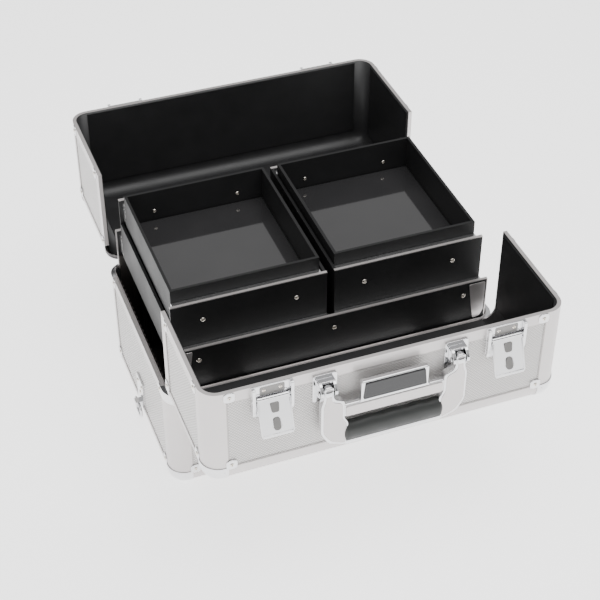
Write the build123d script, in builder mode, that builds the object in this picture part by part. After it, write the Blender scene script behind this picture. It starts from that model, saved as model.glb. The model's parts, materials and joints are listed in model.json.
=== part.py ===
"""Makeup train case: a box base, two half lids hinged at its front and rear, four sliding trays.

The origin is the middle of the flat bottom, +Z is up, the front is -Y. Lid pieces are modelled
closed and then swung open a quarter turn, because the case is exported with both lids open and
all four trays pushed in. Millimetres.
"""

import os

from build123d import *

os.makedirs("parts", exist_ok=True)

# ---------------------------------------------------------------- driving dimensions
case_length = 365.0
case_depth = 232.0
case_height = 262.0
base_height = 132.0
corner_radius = 18.0
profile_width = 22.0
profile_thickness = 4.0
panel_inset = 0.8
rim_width = 12.0
seam_half_gap = 0.2
cap_proud = 0.8
lining_thickness = 0.8

half_length = case_length / 2
half_depth = case_depth / 2
inner_half_length = half_length - profile_thickness
inner_half_depth = half_depth - profile_thickness
post_x = half_length - profile_width
post_y = half_depth - profile_width
top_inner = case_height - profile_thickness
base_rim_top = base_height - seam_half_gap
base_rim_bottom = base_height - rim_width
lid_rim_bottom = base_height + seam_half_gap
lid_rim_top = base_height + rim_width
lid_post_top = case_height - profile_width

# hinges at the front and rear seam
hinge_offset = 3.0
hinge_y = half_depth + hinge_offset
hinge_x = 112.5
hinge_width = 37.0
leaf_thickness = 1.2
lid_leaf_height = 29.0
base_leaf_height = 54.0
knuckle_radius = 2.4
pin_radius = 1.2
running_clearance = 0.05
knuckle_middle = 19.0
knuckle_gap = 0.3

# tray carriers, slides and trays
carrier_face = 106.0
carrier_thickness = 3.0
carrier_top = 183.0
carrier_half_length = 171.0
slide_height = 24.0
slide_depth = 9.0
slide_wall = 1.2
slide_member_gap = 0.35
slide_core_share = 0.55
lower_slide_z = 167.5
tray_wall = 3.0
tray_floor = 3.0
lower_half_depth = carrier_face - slide_depth
lower_bottom = 153.5
lower_top = 231.0
lower_inner_end = 4.0
lower_length = 164.0
upper_slide_z = 216.5
upper_half_depth = lower_half_depth - tray_wall - slide_depth
upper_bottom = 203.0
upper_top = 243.0
upper_length = 156.0
tray_end_clearance = 1.0
upper_inner_end = lower_inner_end + tray_wall + tray_end_clearance
lower_outer_end_top = upper_bottom - 2.0  # the upper tray slides out over this end board
trim_thickness = 1.0

# compartment under the trays
liner_thickness = 4.0
liner_top = 150.0
end_liner_top = 128.0
liner_bottom = 18.0
liner_end_gap = 1.0
rib_pitch = 8.0
rib_width = 4.5
rib_depth = 1.5
floor_pad_thickness = 4.0
divider_thickness = 9.0
divider_height = 62.0
divider_end_gap = 0.5
long_divider_x = 62.0

# handle on the front lid, folded flat towards the front
handle_x = 66.0
handle_pivot_y = -20.0
handle_pivot_z = case_height + 9.0
handle_reach = 58.0
handle_tube_radius = 5.0
bracket_length = 34.0
bracket_width = 24.0
bracket_base = 2.0
ear_thickness = 3.0
ear_spacing = 10.6
eye_radius = 6.0
handle_pin_radius = 2.5

# latches: base and flap on the front lid, keeper on the rear lid
latch_x = 117.0
latch_pivot_y = -14.0
latch_pivot_z = case_height + 4.0
latch_width = 40.0
flap_width = 32.0
flap_reach = 38.0
flap_thickness = 2.4
flap_open_angle = 160.0
lock_radius = 5.0
keyhole_width = 1.2

# strap mounts on the ends
strap_z = 27.0
strap_plate_width = 24.0
strap_plate_height = 38.0
ring_wire = 1.5

rivet_radius = 2.4
rivet_height = 1.0
rivet_taper = 35.0


# ---------------------------------------------------------------- helpers
def block(x_range, y_range, z_range, mode=Mode.ADD):
    """Add a box that spans the given limits on each axis to the piece being built."""
    ranges = (x_range, y_range, z_range)
    middle = tuple((low + high) / 2 for low, high in ranges)
    sizes = [abs(high - low) for low, high in ranges]
    with Locations(middle):
        Box(*sizes, mode=mode)


def span(side, near, far):
    """Limits from near to far on the positive or the negative side of an axis."""
    return tuple(sorted((side * near, side * far)))


def save(piece, label):
    """Name a finished piece and write it to its own STEP file."""
    piece.label = label
    export_step(piece, f"parts/{label}.step")


def swing_open(piece, side):
    """Turn a lid piece, modelled closed, a quarter turn outwards about its hinge line."""
    hinge_line = Axis((0, side * hinge_y, base_height), (1, 0, 0))
    return piece.rotate(hinge_line, -90 * side)


def separate(parts):
    """Keep touching solids apart in one piece, as boards and mitred profiles are."""
    return Compound(children=[solid for part in parts for solid in part.solids()])


def shell_region(shell, regions):
    """Cut the listed boxes out of a shell; each box gives its own solid."""
    pieces = []
    for x_range, y_range, z_range in regions:
        with BuildPart() as piece:
            block(x_range, y_range, z_range)
            add(shell, mode=Mode.INTERSECT)
        pieces.append(piece.part)
    return separate(pieces)


def boards(regions):
    """Flat boards that touch but stay separate solids, one for each box of limits."""
    pieces = []
    for x_range, y_range, z_range in regions:
        with BuildPart() as board:
            block(x_range, y_range, z_range)
        pieces.append(board.part)
    return separate(pieces)


def rivet_group(positions, plane_at):
    """Domed rivets at the given points, each on the plane that plane_at gives for its point."""
    with BuildPart() as group:
        for position in positions:
            with BuildSketch(plane_at(position)):
                Circle(rivet_radius)
            extrude(amount=rivet_height, taper=rivet_taper)
    return group.part


# ---------------------------------------------------------------- rounded case shells
with BuildPart() as cavity:
    block((-inner_half_length, inner_half_length), (-inner_half_depth, inner_half_depth),
          (profile_thickness, top_inner))
    fillet(cavity.edges(), corner_radius - profile_thickness)

with BuildPart() as case_shell:
    block((-half_length, half_length), (-half_depth, half_depth), (0, case_height))
    fillet(case_shell.edges(), corner_radius)
    add(cavity.part, mode=Mode.SUBTRACT)

with BuildPart() as cap_shell:
    block((-half_length - cap_proud, half_length + cap_proud),
          (-half_depth - cap_proud, half_depth + cap_proud), (-cap_proud, case_height + cap_proud))
    fillet(cap_shell.edges(), corner_radius + cap_proud)
    add(cavity.part, mode=Mode.SUBTRACT)
    block((-case_length, case_length), (-case_depth, case_depth), (-case_height, 0), Mode.SUBTRACT)

both_sides = (-1, 1)
middle_x = (-post_x, post_x)
middle_y = (-post_y, post_y)
panel_outer_x = half_length - panel_inset
panel_outer_y = half_depth - panel_inset
outside = 5.0

# ---------------------------------------------------------------- base: walls and frame
with BuildPart() as base_wall_panels:
    for side in both_sides:
        block(middle_x, span(side, inner_half_depth, panel_outer_y), (profile_width, base_rim_bottom))
        block(span(side, inner_half_length, panel_outer_x), middle_y, (profile_width, base_rim_bottom))
save(base_wall_panels.part, "base_wall_panels")

with BuildPart() as base_bottom_panel:
    block(middle_x, middle_y, (0, profile_thickness))
save(base_bottom_panel.part, "base_bottom_panel")

corner_squares = [
    (span(side_x, post_x, half_length + outside), span(side_y, post_y, half_depth + outside))
    for side_x in both_sides for side_y in both_sides
]
base_corner_posts = shell_region(
    case_shell.part, [(*square, (profile_width, base_rim_bottom)) for square in corner_squares])
save(base_corner_posts, "base_corner_posts")

base_bottom_rails = shell_region(
    case_shell.part,
    [(middle_x, span(side, post_y, half_depth + outside), (-outside, profile_width))
     for side in both_sides]
    + [(span(side, post_x, half_length + outside), middle_y, (-outside, profile_width))
       for side in both_sides])
save(base_bottom_rails, "base_bottom_rails")

base_rim = shell_region(
    case_shell.part,
    [(middle_x, span(side, post_y, half_depth + outside), (base_rim_bottom, base_rim_top))
     for side in both_sides]
    + [(span(side, post_x, half_length + outside), middle_y, (base_rim_bottom, base_rim_top))
       for side in both_sides])
save(base_rim, "base_rim")

base_corner_fittings = shell_region(
    cap_shell.part,
    [(*square, (-outside, profile_width)) for square in corner_squares]
    + [(*square, (base_rim_bottom, base_rim_top)) for square in corner_squares])
save(base_corner_fittings, "base_corner_fittings")


# ---------------------------------------------------------------- base: carriers and compartment
with BuildPart() as tray_carriers:
    for side in both_sides:
        block((-carrier_half_length, carrier_half_length),
              span(side, carrier_face, carrier_face + carrier_thickness),
              (liner_bottom, carrier_top))
save(tray_carriers.part, "tray_carriers")

with BuildPart() as carrier_trims:
    for side in both_sides:
        trim_y = span(side, carrier_face, carrier_face + carrier_thickness)
        block((-carrier_half_length, carrier_half_length), trim_y,
              (carrier_top, carrier_top + trim_thickness))
        for end in both_sides:
            block(span(end, carrier_half_length, carrier_half_length + trim_thickness), trim_y,
                  (base_height, carrier_top + trim_thickness))
save(carrier_trims.part, "carrier_trims")


def slide_channel(x_range, side, back, height_middle, depth):
    """A C-shaped slide member whose web lies on back and whose lips point towards the middle."""
    low, high = height_middle - slide_height / 2, height_middle + slide_height / 2
    block(x_range, span(side, back - slide_wall, back), (low, high))
    for lip_low, lip_high in ((low, low + slide_wall), (high - slide_wall, high)):
        block(x_range, span(side, back - depth, back - slide_wall), (lip_low, lip_high))


def slide_insert(x_range, side, face, height_middle, depth):
    """The inner slide member: a flat bar on the tray's face with a raised core in the channel."""
    core = slide_height / 2 - slide_wall - slide_member_gap
    block(x_range, span(side, face, face + slide_wall), (height_middle - core, height_middle + core))
    raised = core * slide_core_share
    block(x_range, span(side, face + slide_wall, face + depth),
          (height_middle - raised, height_middle + raised))


channel_depth = slide_depth - slide_member_gap
insert_depth = slide_depth - slide_wall - slide_member_gap
with BuildPart() as carrier_rails:
    for side in both_sides:
        for end in both_sides:
            slide_channel(span(end, lower_inner_end, lower_inner_end + lower_length),
                          side, carrier_face, lower_slide_z, channel_depth)
save(carrier_rails.part, "carrier_rails")

rib_count = int((2 * post_x) // rib_pitch)
end_rib_count = int((2 * post_y) // rib_pitch)
floor_top = profile_thickness + floor_pad_thickness
with BuildPart() as wall_liners:
    for side in both_sides:
        block((-carrier_half_length, carrier_half_length),
              span(side, carrier_face - liner_thickness + rib_depth, carrier_face),
              (liner_bottom, liner_top))
        rib_y = side * (carrier_face - liner_thickness + rib_depth / 2)
        with Locations((0, rib_y, (liner_bottom + liner_top) / 2)):
            with GridLocations(rib_pitch, 0, rib_count, 1):
                Box(rib_width, rib_depth, liner_top - liner_bottom)
save(wall_liners.part, "wall_liners")

with BuildPart() as end_liners:
    liner_half_width = inner_half_depth - corner_radius + profile_thickness - liner_end_gap
    for side in both_sides:
        block(span(side, inner_half_length - liner_thickness + rib_depth, inner_half_length),
              (-liner_half_width, liner_half_width), (liner_bottom, end_liner_top))
        rib_x = side * (inner_half_length - liner_thickness + rib_depth / 2)
        with Locations((rib_x, 0, (liner_bottom + end_liner_top) / 2)):
            with GridLocations(0, rib_pitch, 1, end_rib_count):
                Box(rib_depth, rib_width, end_liner_top - liner_bottom)
save(end_liners.part, "end_liners")

with BuildPart() as floor_pad:
    block((-half_length + corner_radius, half_length - corner_radius),
          (-half_depth + corner_radius, half_depth - corner_radius), (profile_thickness, floor_top))
save(floor_pad.part, "floor_pad")

divider_top = floor_top + divider_height
divider_reach = carrier_face - liner_thickness - divider_end_gap
divider_near = long_divider_x - divider_thickness / 2
divider_far = long_divider_x + divider_thickness / 2
dividers = boards(
    [(span(side, divider_near, divider_far), (-divider_reach, divider_reach), (floor_top, divider_top))
     for side in both_sides]
    + [((-divider_near, divider_near), (-divider_thickness / 2, divider_thickness / 2),
        (floor_top, divider_top))])
save(dividers, "dividers")


# ---------------------------------------------------------------- hinges
leaf_back = half_depth
leaf_front = half_depth + leaf_thickness
plate_gap = 3.2
tab_gap = 0.8
tip_height = 16.0
tip_half = 6.0
tip_rise = 2.0
base_rivet_drops = (37.5, 8.5)
lid_rivet_rises = (7.5, 24.0)
tab_half = knuckle_middle / 2
leaf_half = hinge_width / 2


def hinge_knuckle(x_low, x_high, side):
    """A hinge barrel along X between two limits, bored for the pin."""
    with Locations(((x_low + x_high) / 2, side * hinge_y, base_height)):
        Cylinder(knuckle_radius, x_high - x_low, rotation=(0, 90, 0))
        Cylinder(pin_radius + running_clearance, x_high - x_low, rotation=(0, 90, 0),
                 mode=Mode.SUBTRACT)


def base_leaf(center_x, side):
    """Shield-shaped leaf on the base wall, with the hinge's middle knuckle."""
    plate_top = base_height - plate_gap
    tip = base_height - base_leaf_height
    shoulder = tip + tip_height
    face = Plane((center_x, side * leaf_front, 0), x_dir=(1, 0, 0), z_dir=(0, -1, 0))
    with BuildSketch(face) as outline:
        with BuildLine():
            Polyline((-leaf_half, plate_top), (-leaf_half, shoulder),
                     (-tip_half, tip + tip_rise), (0, tip), (tip_half, tip + tip_rise),
                     (leaf_half, shoulder),
                     (leaf_half, plate_top), (-leaf_half, plate_top))
        make_face()
    extrude(outline.sketch, amount=side * leaf_thickness)
    block((center_x - tab_half, center_x + tab_half), span(side, leaf_back, leaf_front),
          (plate_top - tab_gap, base_height - tab_gap))
    hinge_knuckle(center_x - tab_half, center_x + tab_half, side)


def lid_leaf(center_x, side):
    """Leaf on the lid, modelled closed, with its two outer knuckles."""
    plate_bottom = base_height + plate_gap
    block((center_x - leaf_half, center_x + leaf_half), span(side, leaf_back, leaf_front),
          (plate_bottom, base_height + lid_leaf_height))
    for end in both_sides:
        inner = center_x + end * (tab_half + knuckle_gap)
        outer = center_x + end * leaf_half
        low, high = sorted((inner, outer))
        block((low, high), span(side, leaf_back, leaf_front), (base_height + tab_gap, plate_bottom + tab_gap))
        hinge_knuckle(low, high, side)


with BuildPart() as hinge_base_leaves:
    for side in both_sides:
        for end in both_sides:
            base_leaf(end * hinge_x, side)
save(hinge_base_leaves.part, "hinge_base_leaves")

with BuildPart() as hinge_pins:
    for side in both_sides:
        with Locations(*[(end * hinge_x, side * hinge_y, base_height) for end in both_sides]):
            Cylinder(pin_radius, hinge_width, rotation=(0, 90, 0))
save(hinge_pins.part, "hinge_pins")


# ---------------------------------------------------------------- base: rivets and strap mounts
def wall_plane(position):
    """Plane on a front or rear wall at an (x, z) point, facing outwards."""
    x, side, surface, z = position
    return Plane((x, side * surface, z), x_dir=(1, 0, 0), z_dir=(0, side, 0))


def end_plane(position):
    """Plane on an end wall at a (y, z) point, facing outwards."""
    y, side, surface, z = position
    return Plane((side * surface, y, z), x_dir=(0, 1, 0), z_dir=(side, 0, 0))


rivet_spread = 11.0
carrier_rivet_x = 145.0
carrier_rivet_drop = 15.0
base_leaf_rivets = [
    (end * hinge_x + offset, side, leaf_front, z)
    for side in both_sides for end in both_sides for offset in (-rivet_spread, rivet_spread)
    for z in (base_height - drop for drop in base_rivet_drops)
]
carrier_rivets = [
    (x, side, carrier_face + carrier_thickness, carrier_top - carrier_rivet_drop)
    for side in both_sides for x in (-carrier_rivet_x, 0, carrier_rivet_x)
]
base_wall_rivets = rivet_group(base_leaf_rivets + carrier_rivets, wall_plane)
save(base_wall_rivets, "base_rivets")

strap_plate_below = 4.0
strap_plate_thickness = 1.5
strap_plate_face = half_length + strap_plate_thickness
strap_lug = 8.0
lug_half_height = 3.5
ring_x = half_length + 5.0
with BuildPart() as strap_mounts:
    for side in both_sides:
        plate_bottom = strap_z - strap_plate_below
        block(span(side, panel_outer_x, strap_plate_face), (-strap_plate_width / 2, strap_plate_width / 2),
              (plate_bottom, plate_bottom + strap_plate_height))
        block(span(side, strap_plate_face, ring_x + lug_half_height), (-strap_lug / 2, strap_lug / 2),
              (strap_z - lug_half_height, strap_z + lug_half_height))
        with Locations((side * ring_x, 0, strap_z)):
            Cylinder(ring_wire + running_clearance, strap_lug, rotation=(90, 0, 0), mode=Mode.SUBTRACT)
save(strap_mounts.part, "strap_mounts")

ring_half_width = 11.0
ring_drop = 14.0
ring_corner = 4.0
for side, ring_name in ((-1, "left_strap_ring"), (1, "right_strap_ring")):
    with BuildPart() as strap_ring:
        with BuildLine() as ring_path:
            FilletPolyline((side * ring_x, ring_half_width, strap_z),
                           (side * ring_x, ring_half_width, strap_z - ring_drop),
                           (side * ring_x, -ring_half_width, strap_z - ring_drop),
                           (side * ring_x, -ring_half_width, strap_z), radius=ring_corner, close=True)
        with BuildSketch(Plane(ring_path.line @ 0, z_dir=ring_path.line % 0)):
            Circle(ring_wire)
        sweep()
    save(strap_ring.part, ring_name)


# ---------------------------------------------------------------- lids
def lid_pieces(side, name):
    """Model one lid closed, swing it open and write its pieces."""
    lid_y = span(side, rim_width, post_y)
    seam_y = span(side, seam_half_gap, rim_width)
    outer_y = span(side, post_y, half_depth + outside)
    lid_corners = [(span(end, post_x, half_length + outside), outer_y) for end in both_sides]
    above = case_height + outside

    with BuildPart() as panels:
        block(middle_x, span(side, inner_half_depth, panel_outer_y), (lid_rim_top, lid_post_top))
        block(middle_x, lid_y, (top_inner, case_height - panel_inset))
        for end in both_sides:
            block(span(end, inner_half_length, panel_outer_x), lid_y, (lid_rim_top, lid_post_top))
    save(swing_open(panels.part, side), f"{name}_lid_panels")

    posts = shell_region(case_shell.part, [(*square, (lid_rim_top, lid_post_top)) for square in lid_corners])
    save(swing_open(posts, side), f"{name}_lid_posts")

    edge = shell_region(case_shell.part, [(middle_x, outer_y, (lid_post_top, above))])
    save(swing_open(edge, side), f"{name}_lid_long_edge")

    end_edges = shell_region(
        case_shell.part,
        [(span(end, post_x, half_length + outside), lid_y, (lid_post_top, above)) for end in both_sides])
    save(swing_open(end_edges, side), f"{name}_lid_end_edges")

    rim = shell_region(
        case_shell.part,
        [(middle_x, outer_y, (lid_rim_bottom, lid_rim_top)), (middle_x, seam_y, (lid_post_top, above))]
        + [(span(end, post_x, half_length + outside), lid_y, (lid_rim_bottom, lid_rim_top))
           for end in both_sides]
        + [(span(end, post_x, half_length + outside), seam_y, (lid_rim_bottom, lid_post_top))
           for end in both_sides]
        + [(span(end, post_x, half_length + outside), seam_y, (lid_post_top, above))
           for end in both_sides])
    save(swing_open(rim, side), f"{name}_lid_rim")

    caps = shell_region(
        cap_shell.part,
        [(*square, (lid_post_top, above)) for square in lid_corners]
        + [(*square, (lid_rim_bottom, lid_rim_top)) for square in lid_corners])
    save(swing_open(caps, side), f"{name}_lid_corner_caps")

    lining_y = inner_half_depth - lining_thickness
    with BuildPart() as lining:
        block(middle_x, span(side, lining_y, inner_half_depth), (lid_rim_top, lid_post_top))
        block(middle_x, lid_y, (top_inner - lining_thickness, top_inner))
        for end in both_sides:
            block(span(end, inner_half_length - lining_thickness, inner_half_length), lid_y,
                  (lid_rim_top, lid_post_top))
    save(swing_open(lining.part, side), f"{name}_lid_lining")

    with BuildPart() as leaves:
        for end in both_sides:
            lid_leaf(end * hinge_x, side)
    save(swing_open(leaves.part, side), f"{name}_lid_hinge_leaves")

    leaf_rivets = rivet_group(
        [(end * hinge_x + offset, side, leaf_front, base_height + z)
         for end in both_sides for offset in (-rivet_spread, rivet_spread) for z in lid_rivet_rises],
        wall_plane)
    save(swing_open(leaf_rivets, side), f"{name}_lid_rivets")


lid_pieces(-1, "front")
lid_pieces(1, "rear")

# ---------------------------------------------------------------- handle and its brackets
panel_top = case_height - panel_inset
bracket_top = case_height + bracket_base
bracket_low_y = handle_pivot_y - bracket_length / 2
bracket_high_y = bracket_low_y + bracket_length - 2
ear_half_length = 7.0
ear_rise = 5.0


def fitting_plate(center, width, y_low, y_high, top):
    """A plate on the lid's top that rests on the inset panel and on the rim by the seam."""
    x_range = (center - width / 2, center + width / 2)
    block(x_range, (y_low, y_high), (case_height, top))
    panel_side = (y_low, -rim_width) if y_low < 0 else (rim_width, y_high)
    block(x_range, panel_side, (panel_top, case_height))


with BuildPart() as handle_brackets:
    for end in both_sides:
        center = end * handle_x
        fitting_plate(center, bracket_width, bracket_low_y, bracket_high_y, bracket_top)
        for ear in both_sides:
            ear_x = sorted((center + ear * ear_spacing / 2, center + ear * (ear_spacing / 2 + ear_thickness)))
            block(ear_x, (handle_pivot_y - ear_half_length, handle_pivot_y + ear_half_length),
                  (bracket_top, handle_pivot_z + ear_rise))
        with Locations((center, handle_pivot_y, handle_pivot_z)):
            Cylinder(handle_pin_radius, ear_spacing + 2 * ear_thickness, rotation=(0, 90, 0))
save(swing_open(handle_brackets.part, -1), "handle_brackets")

arm_width = 10.0
arm_half_height = 4.0
bar_y = handle_pivot_y - handle_reach
bridge_near = handle_pivot_y - 12.0
bridge_far = handle_pivot_y - 34.0
bridge_underside = handle_pivot_z - 2.0
bridge_top = handle_pivot_z + arm_half_height
inlay_border = 2.0
inlay_half = 29.0
inlay_thickness = 1.0
with BuildPart() as handle_frame:
    for end in both_sides:
        center = end * handle_x
        with Locations((center, handle_pivot_y, handle_pivot_z)):
            Cylinder(eye_radius, arm_width, rotation=(0, 90, 0))
        block((center - arm_width / 2, center + arm_width / 2), (bar_y, handle_pivot_y),
              (handle_pivot_z - arm_half_height, handle_pivot_z + arm_half_height))
        with Locations((center, handle_pivot_y, handle_pivot_z)):
            Cylinder(handle_pin_radius + running_clearance, arm_width, rotation=(0, 90, 0),
                     mode=Mode.SUBTRACT)
    with Locations((0, bar_y, handle_pivot_z)):
        Cylinder(handle_tube_radius, 2 * handle_x + arm_width, rotation=(0, 90, 0))
save(swing_open(handle_frame.part, -1), "handle_frame")

with BuildPart() as handle_bridge:
    block((-handle_x + arm_width / 2, handle_x - arm_width / 2), (bridge_far, bridge_near),
          (bridge_underside, bridge_top))
save(swing_open(handle_bridge.part, -1), "handle_bridge")

with BuildPart() as handle_inlay:
    block((-inlay_half, inlay_half), (bridge_far + inlay_border, bridge_near - inlay_border),
          (bridge_top, bridge_top + inlay_thickness))
save(swing_open(handle_inlay.part, -1), "handle_inlay")

grip_half = 50.0
grip_radius = 8.2
with BuildPart() as handle_grip:
    with Locations((0, bar_y, handle_pivot_z)):
        Cylinder(grip_radius, 2 * grip_half, rotation=(0, 90, 0))
        Cylinder(handle_tube_radius, 2 * grip_half, rotation=(0, 90, 0), mode=Mode.SUBTRACT)
save(swing_open(handle_grip.part, -1), "handle_grip")

# ---------------------------------------------------------------- latches
latch_plate_top = case_height + 1.6
cheek_thickness = 2.5
latch_back_y = -36.0
flap_bottom = latch_pivot_z - flap_thickness / 2
flap_top = latch_pivot_z + flap_thickness / 2
latch_pin_radius = 1.0
flap_barrel = 2.0
cheek_inset = 4.0
cheek_proud = 0.8
catch_half_width = 6.0
catch_y = (24.0, 30.0)
catch_gap = 0.4
keeper_far = flap_reach + latch_pivot_y + 10
lock_y = latch_pivot_y + 28
with BuildPart() as latch_bases:
    for end in both_sides:
        center = end * latch_x
        fitting_plate(center, latch_width, latch_back_y, -seam_half_gap, latch_plate_top)
        for cheek in both_sides:
            cheek_x = sorted((center + cheek * (latch_width / 2 - cheek_thickness),
                              center + cheek * latch_width / 2))
            block(cheek_x, (latch_back_y + cheek_inset, -seam_half_gap),
                  (latch_plate_top, flap_top + cheek_proud))
        with Locations((center, latch_pivot_y, latch_pivot_z)):
            Cylinder(latch_pin_radius, latch_width - 2 * cheek_thickness, rotation=(0, 90, 0))
save(swing_open(latch_bases.part, -1), "latch_bases")

with BuildPart() as latch_keepers:
    for end in both_sides:
        center = end * latch_x
        fitting_plate(center, latch_width, seam_half_gap, keeper_far, latch_plate_top)
        block((center - catch_half_width, center + catch_half_width), catch_y,
              (latch_plate_top, flap_bottom - catch_gap))
save(swing_open(latch_keepers.part, 1), "latch_keepers")

flap_pivot = Axis((0, latch_pivot_y, latch_pivot_z), (1, 0, 0))
for end, latch_name in ((-1, "left"), (1, "right")):
    center = end * latch_x
    with BuildPart() as latch_flap:
        block((center - flap_width / 2, center + flap_width / 2),
              (latch_pivot_y, latch_pivot_y + flap_reach), (flap_bottom, flap_top))
        with Locations((center, latch_pivot_y, latch_pivot_z)):
            Cylinder(flap_barrel, flap_width, rotation=(0, 90, 0))
            Cylinder(latch_pin_radius + running_clearance, flap_width, rotation=(0, 90, 0),
                     mode=Mode.SUBTRACT)
        with Locations((center, lock_y, latch_pivot_z)):
            Cylinder(lock_radius + running_clearance, 3 * flap_thickness, mode=Mode.SUBTRACT)
    with BuildPart() as key_cylinder:
        with Locations((center, lock_y, latch_pivot_z)):
            Cylinder(lock_radius, flap_thickness)
        with Locations((center, lock_y, flap_top)):
            Box(keyhole_width, lock_radius, flap_thickness, mode=Mode.SUBTRACT)
    for piece, label in ((latch_flap, "latch_flap"), (key_cylinder, "key_cylinder")):
        lifted = piece.part.rotate(flap_pivot, flap_open_angle)
        save(swing_open(lifted, -1), f"{latch_name}_{label}")


# ---------------------------------------------------------------- trays
def tray_shell(end, inner_end, length, half_width, bottom, top, outer_top):
    """Five boards of a tray; end is -1 for the left tray and 1 for the right one."""
    outer_end = inner_end + length
    along = span(end, inner_end, outer_end)
    across = (tray_wall - half_width, half_width - tray_wall)
    floor_level = bottom + tray_floor
    return boards([
        (along, (-half_width, half_width), (bottom, floor_level)),
        (along, span(-1, half_width - tray_wall, half_width), (floor_level, top)),
        (along, span(1, half_width - tray_wall, half_width), (floor_level, top)),
        (span(end, inner_end, inner_end + tray_wall), across, (floor_level, top)),
        (span(end, outer_end - tray_wall, outer_end), across, (floor_level, outer_top)),
    ])


tray_rivet_shares = (0.2, 0.8)
tray_rivet_drop = 22.0


def tray_rivets(end, inner_end, length, half_width, z):
    """Rivets through the front and rear boards of a tray, seen on the outside."""
    return rivet_group([(end * (inner_end + length * share), side, half_width, z)
                        for side in both_sides for share in tray_rivet_shares], wall_plane)


for end, name in ((-1, "left"), (1, "right")):
    lower_x = span(end, lower_inner_end, lower_inner_end + lower_length)
    upper_x = span(end, upper_inner_end, upper_inner_end + upper_length)
    lower_tray = tray_shell(end, lower_inner_end, lower_length, lower_half_depth,
                            lower_bottom, lower_top, lower_outer_end_top)
    save(lower_tray, f"{name}_lower_tray")
    with BuildPart() as lower_slides:
        for side in both_sides:
            slide_insert(lower_x, side, lower_half_depth, lower_slide_z, insert_depth)
            slide_channel(upper_x, side, lower_half_depth - tray_wall, upper_slide_z, channel_depth)
    save(lower_slides.part, f"{name}_lower_slides")
    with BuildPart() as lower_trim:
        for side in both_sides:
            block(lower_x, span(side, lower_half_depth - tray_wall, lower_half_depth),
                  (lower_top, lower_top + trim_thickness))
    save(lower_trim.part, f"{name}_lower_trim")
    save(tray_rivets(end, lower_inner_end, lower_length, lower_half_depth,
                     lower_top - tray_rivet_drop), f"{name}_lower_rivets")

    upper_tray = tray_shell(end, upper_inner_end, upper_length, upper_half_depth,
                            upper_bottom, upper_top, upper_top)
    save(upper_tray, f"{name}_upper_tray")
    with BuildPart() as upper_slides:
        for side in both_sides:
            slide_insert(upper_x, side, upper_half_depth, upper_slide_z, insert_depth)
    save(upper_slides.part, f"{name}_upper_slides")
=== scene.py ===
# %% [markdown]
# # A makeup train case, dressed in Blender
# The frame already holds every board, profile, hinge and slide of the case at its real size. This
# lesson keeps the shapes that are right and gives them real finishes. It replaces the ones that were
# only stand-ins, such as the handle, the latches and the foam, with pieces that have the roundings and
# folds of the real ones.

# %% Load the frame
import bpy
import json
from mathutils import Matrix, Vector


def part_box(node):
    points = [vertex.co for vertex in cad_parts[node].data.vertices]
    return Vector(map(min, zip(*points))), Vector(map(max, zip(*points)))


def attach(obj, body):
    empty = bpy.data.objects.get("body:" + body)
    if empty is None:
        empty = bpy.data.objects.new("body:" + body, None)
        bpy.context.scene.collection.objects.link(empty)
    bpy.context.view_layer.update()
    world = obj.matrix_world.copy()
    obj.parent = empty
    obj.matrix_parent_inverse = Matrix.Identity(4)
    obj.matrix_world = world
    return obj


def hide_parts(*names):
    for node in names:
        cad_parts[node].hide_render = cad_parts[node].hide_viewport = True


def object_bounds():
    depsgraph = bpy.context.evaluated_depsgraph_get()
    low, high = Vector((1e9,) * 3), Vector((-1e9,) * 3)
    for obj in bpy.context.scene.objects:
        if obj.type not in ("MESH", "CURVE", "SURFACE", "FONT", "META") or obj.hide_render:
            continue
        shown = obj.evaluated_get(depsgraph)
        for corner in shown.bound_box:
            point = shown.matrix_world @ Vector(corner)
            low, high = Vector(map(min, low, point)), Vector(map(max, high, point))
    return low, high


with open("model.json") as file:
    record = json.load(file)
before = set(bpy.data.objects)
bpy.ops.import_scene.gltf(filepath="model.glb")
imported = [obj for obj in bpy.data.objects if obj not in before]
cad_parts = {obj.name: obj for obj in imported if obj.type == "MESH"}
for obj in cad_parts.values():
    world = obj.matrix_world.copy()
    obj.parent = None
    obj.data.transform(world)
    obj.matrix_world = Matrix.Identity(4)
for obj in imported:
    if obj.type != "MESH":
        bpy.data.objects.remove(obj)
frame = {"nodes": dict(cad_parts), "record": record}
cad_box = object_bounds()

# %%
import json
import math

import bmesh
import bpy
from mathutils import Matrix, Vector

mm = 0.001
both_sides = (-1, 1)
on_edge = Matrix(((0, 0, 1, 0), (1, 0, 0, 0), (0, 1, 0, 0), (0, 0, 0, 1)))

# %% [markdown]
# ## Measures taken from the frame
# Every place in this lesson comes from the frame, so nothing has to be fitted afterwards. A lid piece
# is easiest to think about while the case is shut, so it is made in the shut position and then swung
# open with one matrix: the same quarter turn about the hinge line that the frame uses.

# %% Measures
pins_low, pins_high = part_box("hinge_pins")
pin_radius = (pins_high.z - pins_low.z) / 2
seam_height = (pins_high.z + pins_low.z) / 2
hinge_y = pins_high.y - pin_radius
half_length, half_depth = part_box("base_corner_posts")[1].xy
case_height = seam_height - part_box("front_lid_long_edge")[0].y - hinge_y
panel_x, panel_y, panel_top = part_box("base_wall_panels")[1]
panel_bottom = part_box("base_wall_panels")[0].z
profile_width = panel_bottom
profile_thickness = 4 * mm
corner_radius = 18 * mm
rim_width = seam_height - panel_top
post_x = half_length - profile_width
post_y = half_depth - profile_width
lid_top_panel = case_height - (half_depth - panel_y)


def swing(side):
    """The matrix that opens a shut lid a quarter turn: side is -1 at the front and 1 at the rear."""
    line = Matrix.Translation((0, side * hinge_y, seam_height))
    return line @ Matrix.Rotation(math.radians(-90 * side), 4, "X") @ line.inverted()


print("case", round(2 * half_length, 4), "x", round(2 * half_depth, 4), "x", round(case_height, 4), "m")

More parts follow.
